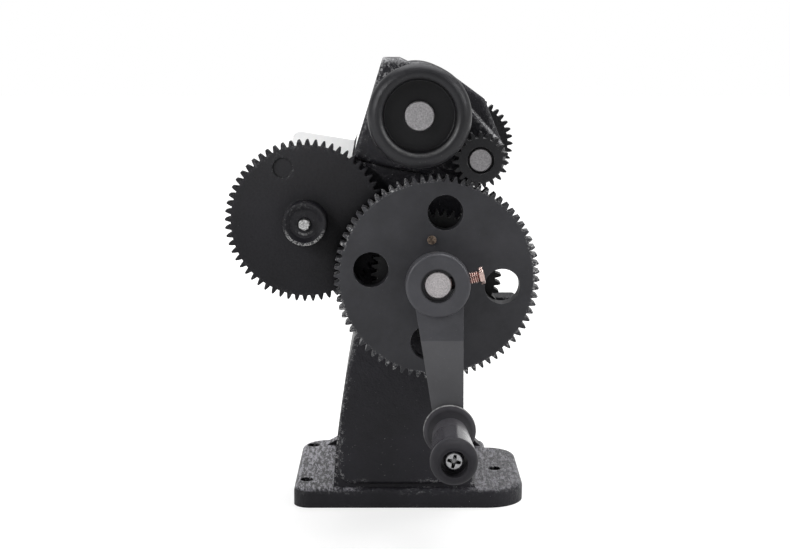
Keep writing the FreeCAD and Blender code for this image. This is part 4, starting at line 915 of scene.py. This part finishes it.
def stage_material():
    """A grey floor that glows for what sees it: pale at the machine, white further off."""
    mirror_sides = (-0.05, 0.3)
    mirror_strengths = (0.3, 1.0)
    fade_distances = (0.2, 1.2)
    fade_strengths = (0.6, 1.0)
    material = bpy.data.materials.new("floor_white")
    material.use_nodes = True
    tree = material.node_tree
    tree.nodes.clear()
    path = add(tree, "ShaderNodeLightPath")
    mirrored = ramp(tree, place(tree, "Y"), mirror_sides, mirror_strengths)
    mirrored = product(tree, mirrored, path.outputs["Is Glossy Ray"])
    seen = largest(tree, seen_directly(tree), mirrored)
    where = add(tree, "ShaderNodeTexCoord")
    away = add(tree, "ShaderNodeVectorMath", operation="LENGTH")
    link(tree, where.outputs["Object"], away.inputs[0])
    white = ramp(tree, away.outputs["Value"], fade_distances, fade_strengths)
    diffuse = add(tree, "ShaderNodeBsdfDiffuse")
    diffuse.inputs["Color"].default_value = FLOOR_GREY
    glow = add(tree, "ShaderNodeEmission")
    link(tree, product(tree, seen, white), glow.inputs["Strength"])
    both = add(tree, "ShaderNodeAddShader")
    output = add(tree, "ShaderNodeOutputMaterial")
    link(tree, diffuse.outputs[0], both.inputs[0])
    link(tree, glow.outputs[0], both.inputs[1])
    link(tree, both.outputs[0], output.inputs["Surface"])
    return material


def make_floor():
    """A square floor under the machine."""
    half = 6
    mesh = bpy.data.meshes.new("floor")
    corners = [(-half, -half, 0), (half, -half, 0), (half, half, 0), (-half, half, 0)]
    mesh.from_pydata(corners, [], [(0, 1, 2, 3)])
    floor = bpy.data.objects.new("floor", mesh)
    scene.collection.objects.link(floor)
    mesh.materials.append(stage_material())


make_floor()


# Lights: three softboxes, and a narrow spot on the counter's shell

middle = (0, 0, 0.12)
softboxes = (
    ("top_softbox", (0.1, 0.3, 1.25), (1.2, 1.0), 18),
    ("left_softbox", (-1.2, -0.9, 0.8), (0.8, 0.9), 11),
    ("right_softbox", (1.3, -0.5, 0.9), (0.7, 1.0), 9),
)
spot_position = (-0.5, -0.9, 0.6)
spot_drop = 0.008
spot_degrees = 3.9
spot_blend = 0.4
spot_radius = 0.05
spot_power = 55


def hang(name, data, position, target):
    """Put a lamp at a position, pointed at a target."""
    light = bpy.data.objects.new(name, data)
    light.location = position
    direction = Vector(target) - Vector(position)
    light.rotation_euler = direction.to_track_quat("-Z", "Y").to_euler()
    scene.collection.objects.link(light)


for name, position, size, power in softboxes:
    data = bpy.data.lights.new(name, "AREA")
    data.shape = "RECTANGLE"
    data.size = size[0]
    data.size_y = size[1]
    data.energy = power
    hang(name, data, position, middle)

shell_low, shell_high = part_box("counter_housing")
shell_middle = [(a + b) / 2 for a, b in zip(shell_low, shell_high)]
spot_target = (shell_middle[0], shell_middle[1], shell_high[2] - spot_drop)
data = bpy.data.lights.new("shell_spot", "SPOT")
data.spot_size = math.radians(spot_degrees)
data.spot_blend = spot_blend
data.shadow_soft_size = spot_radius
data.energy = spot_power
hang("shell_spot", data, spot_position, spot_target)


# World: white where it is seen, and otherwise brightest behind the machine

world_directions = (0.3, 0.8)
world_strengths = (0.2, 0.85)

world = bpy.data.worlds.new("studio")
scene.world = world
world.use_nodes = True
tree = world.node_tree
background = tree.nodes["Background"]
background.inputs["Color"].default_value = WORLD_WHITE
around = add(tree, "ShaderNodeTexCoord")
toward = part_of(tree, around.outputs["Generated"], "Y")
behind = ramp(tree, toward, world_directions, world_strengths)
link(tree, largest(tree, behind, seen_directly(tree)), background.inputs["Strength"])

scene.view_settings.view_transform = "Standard"
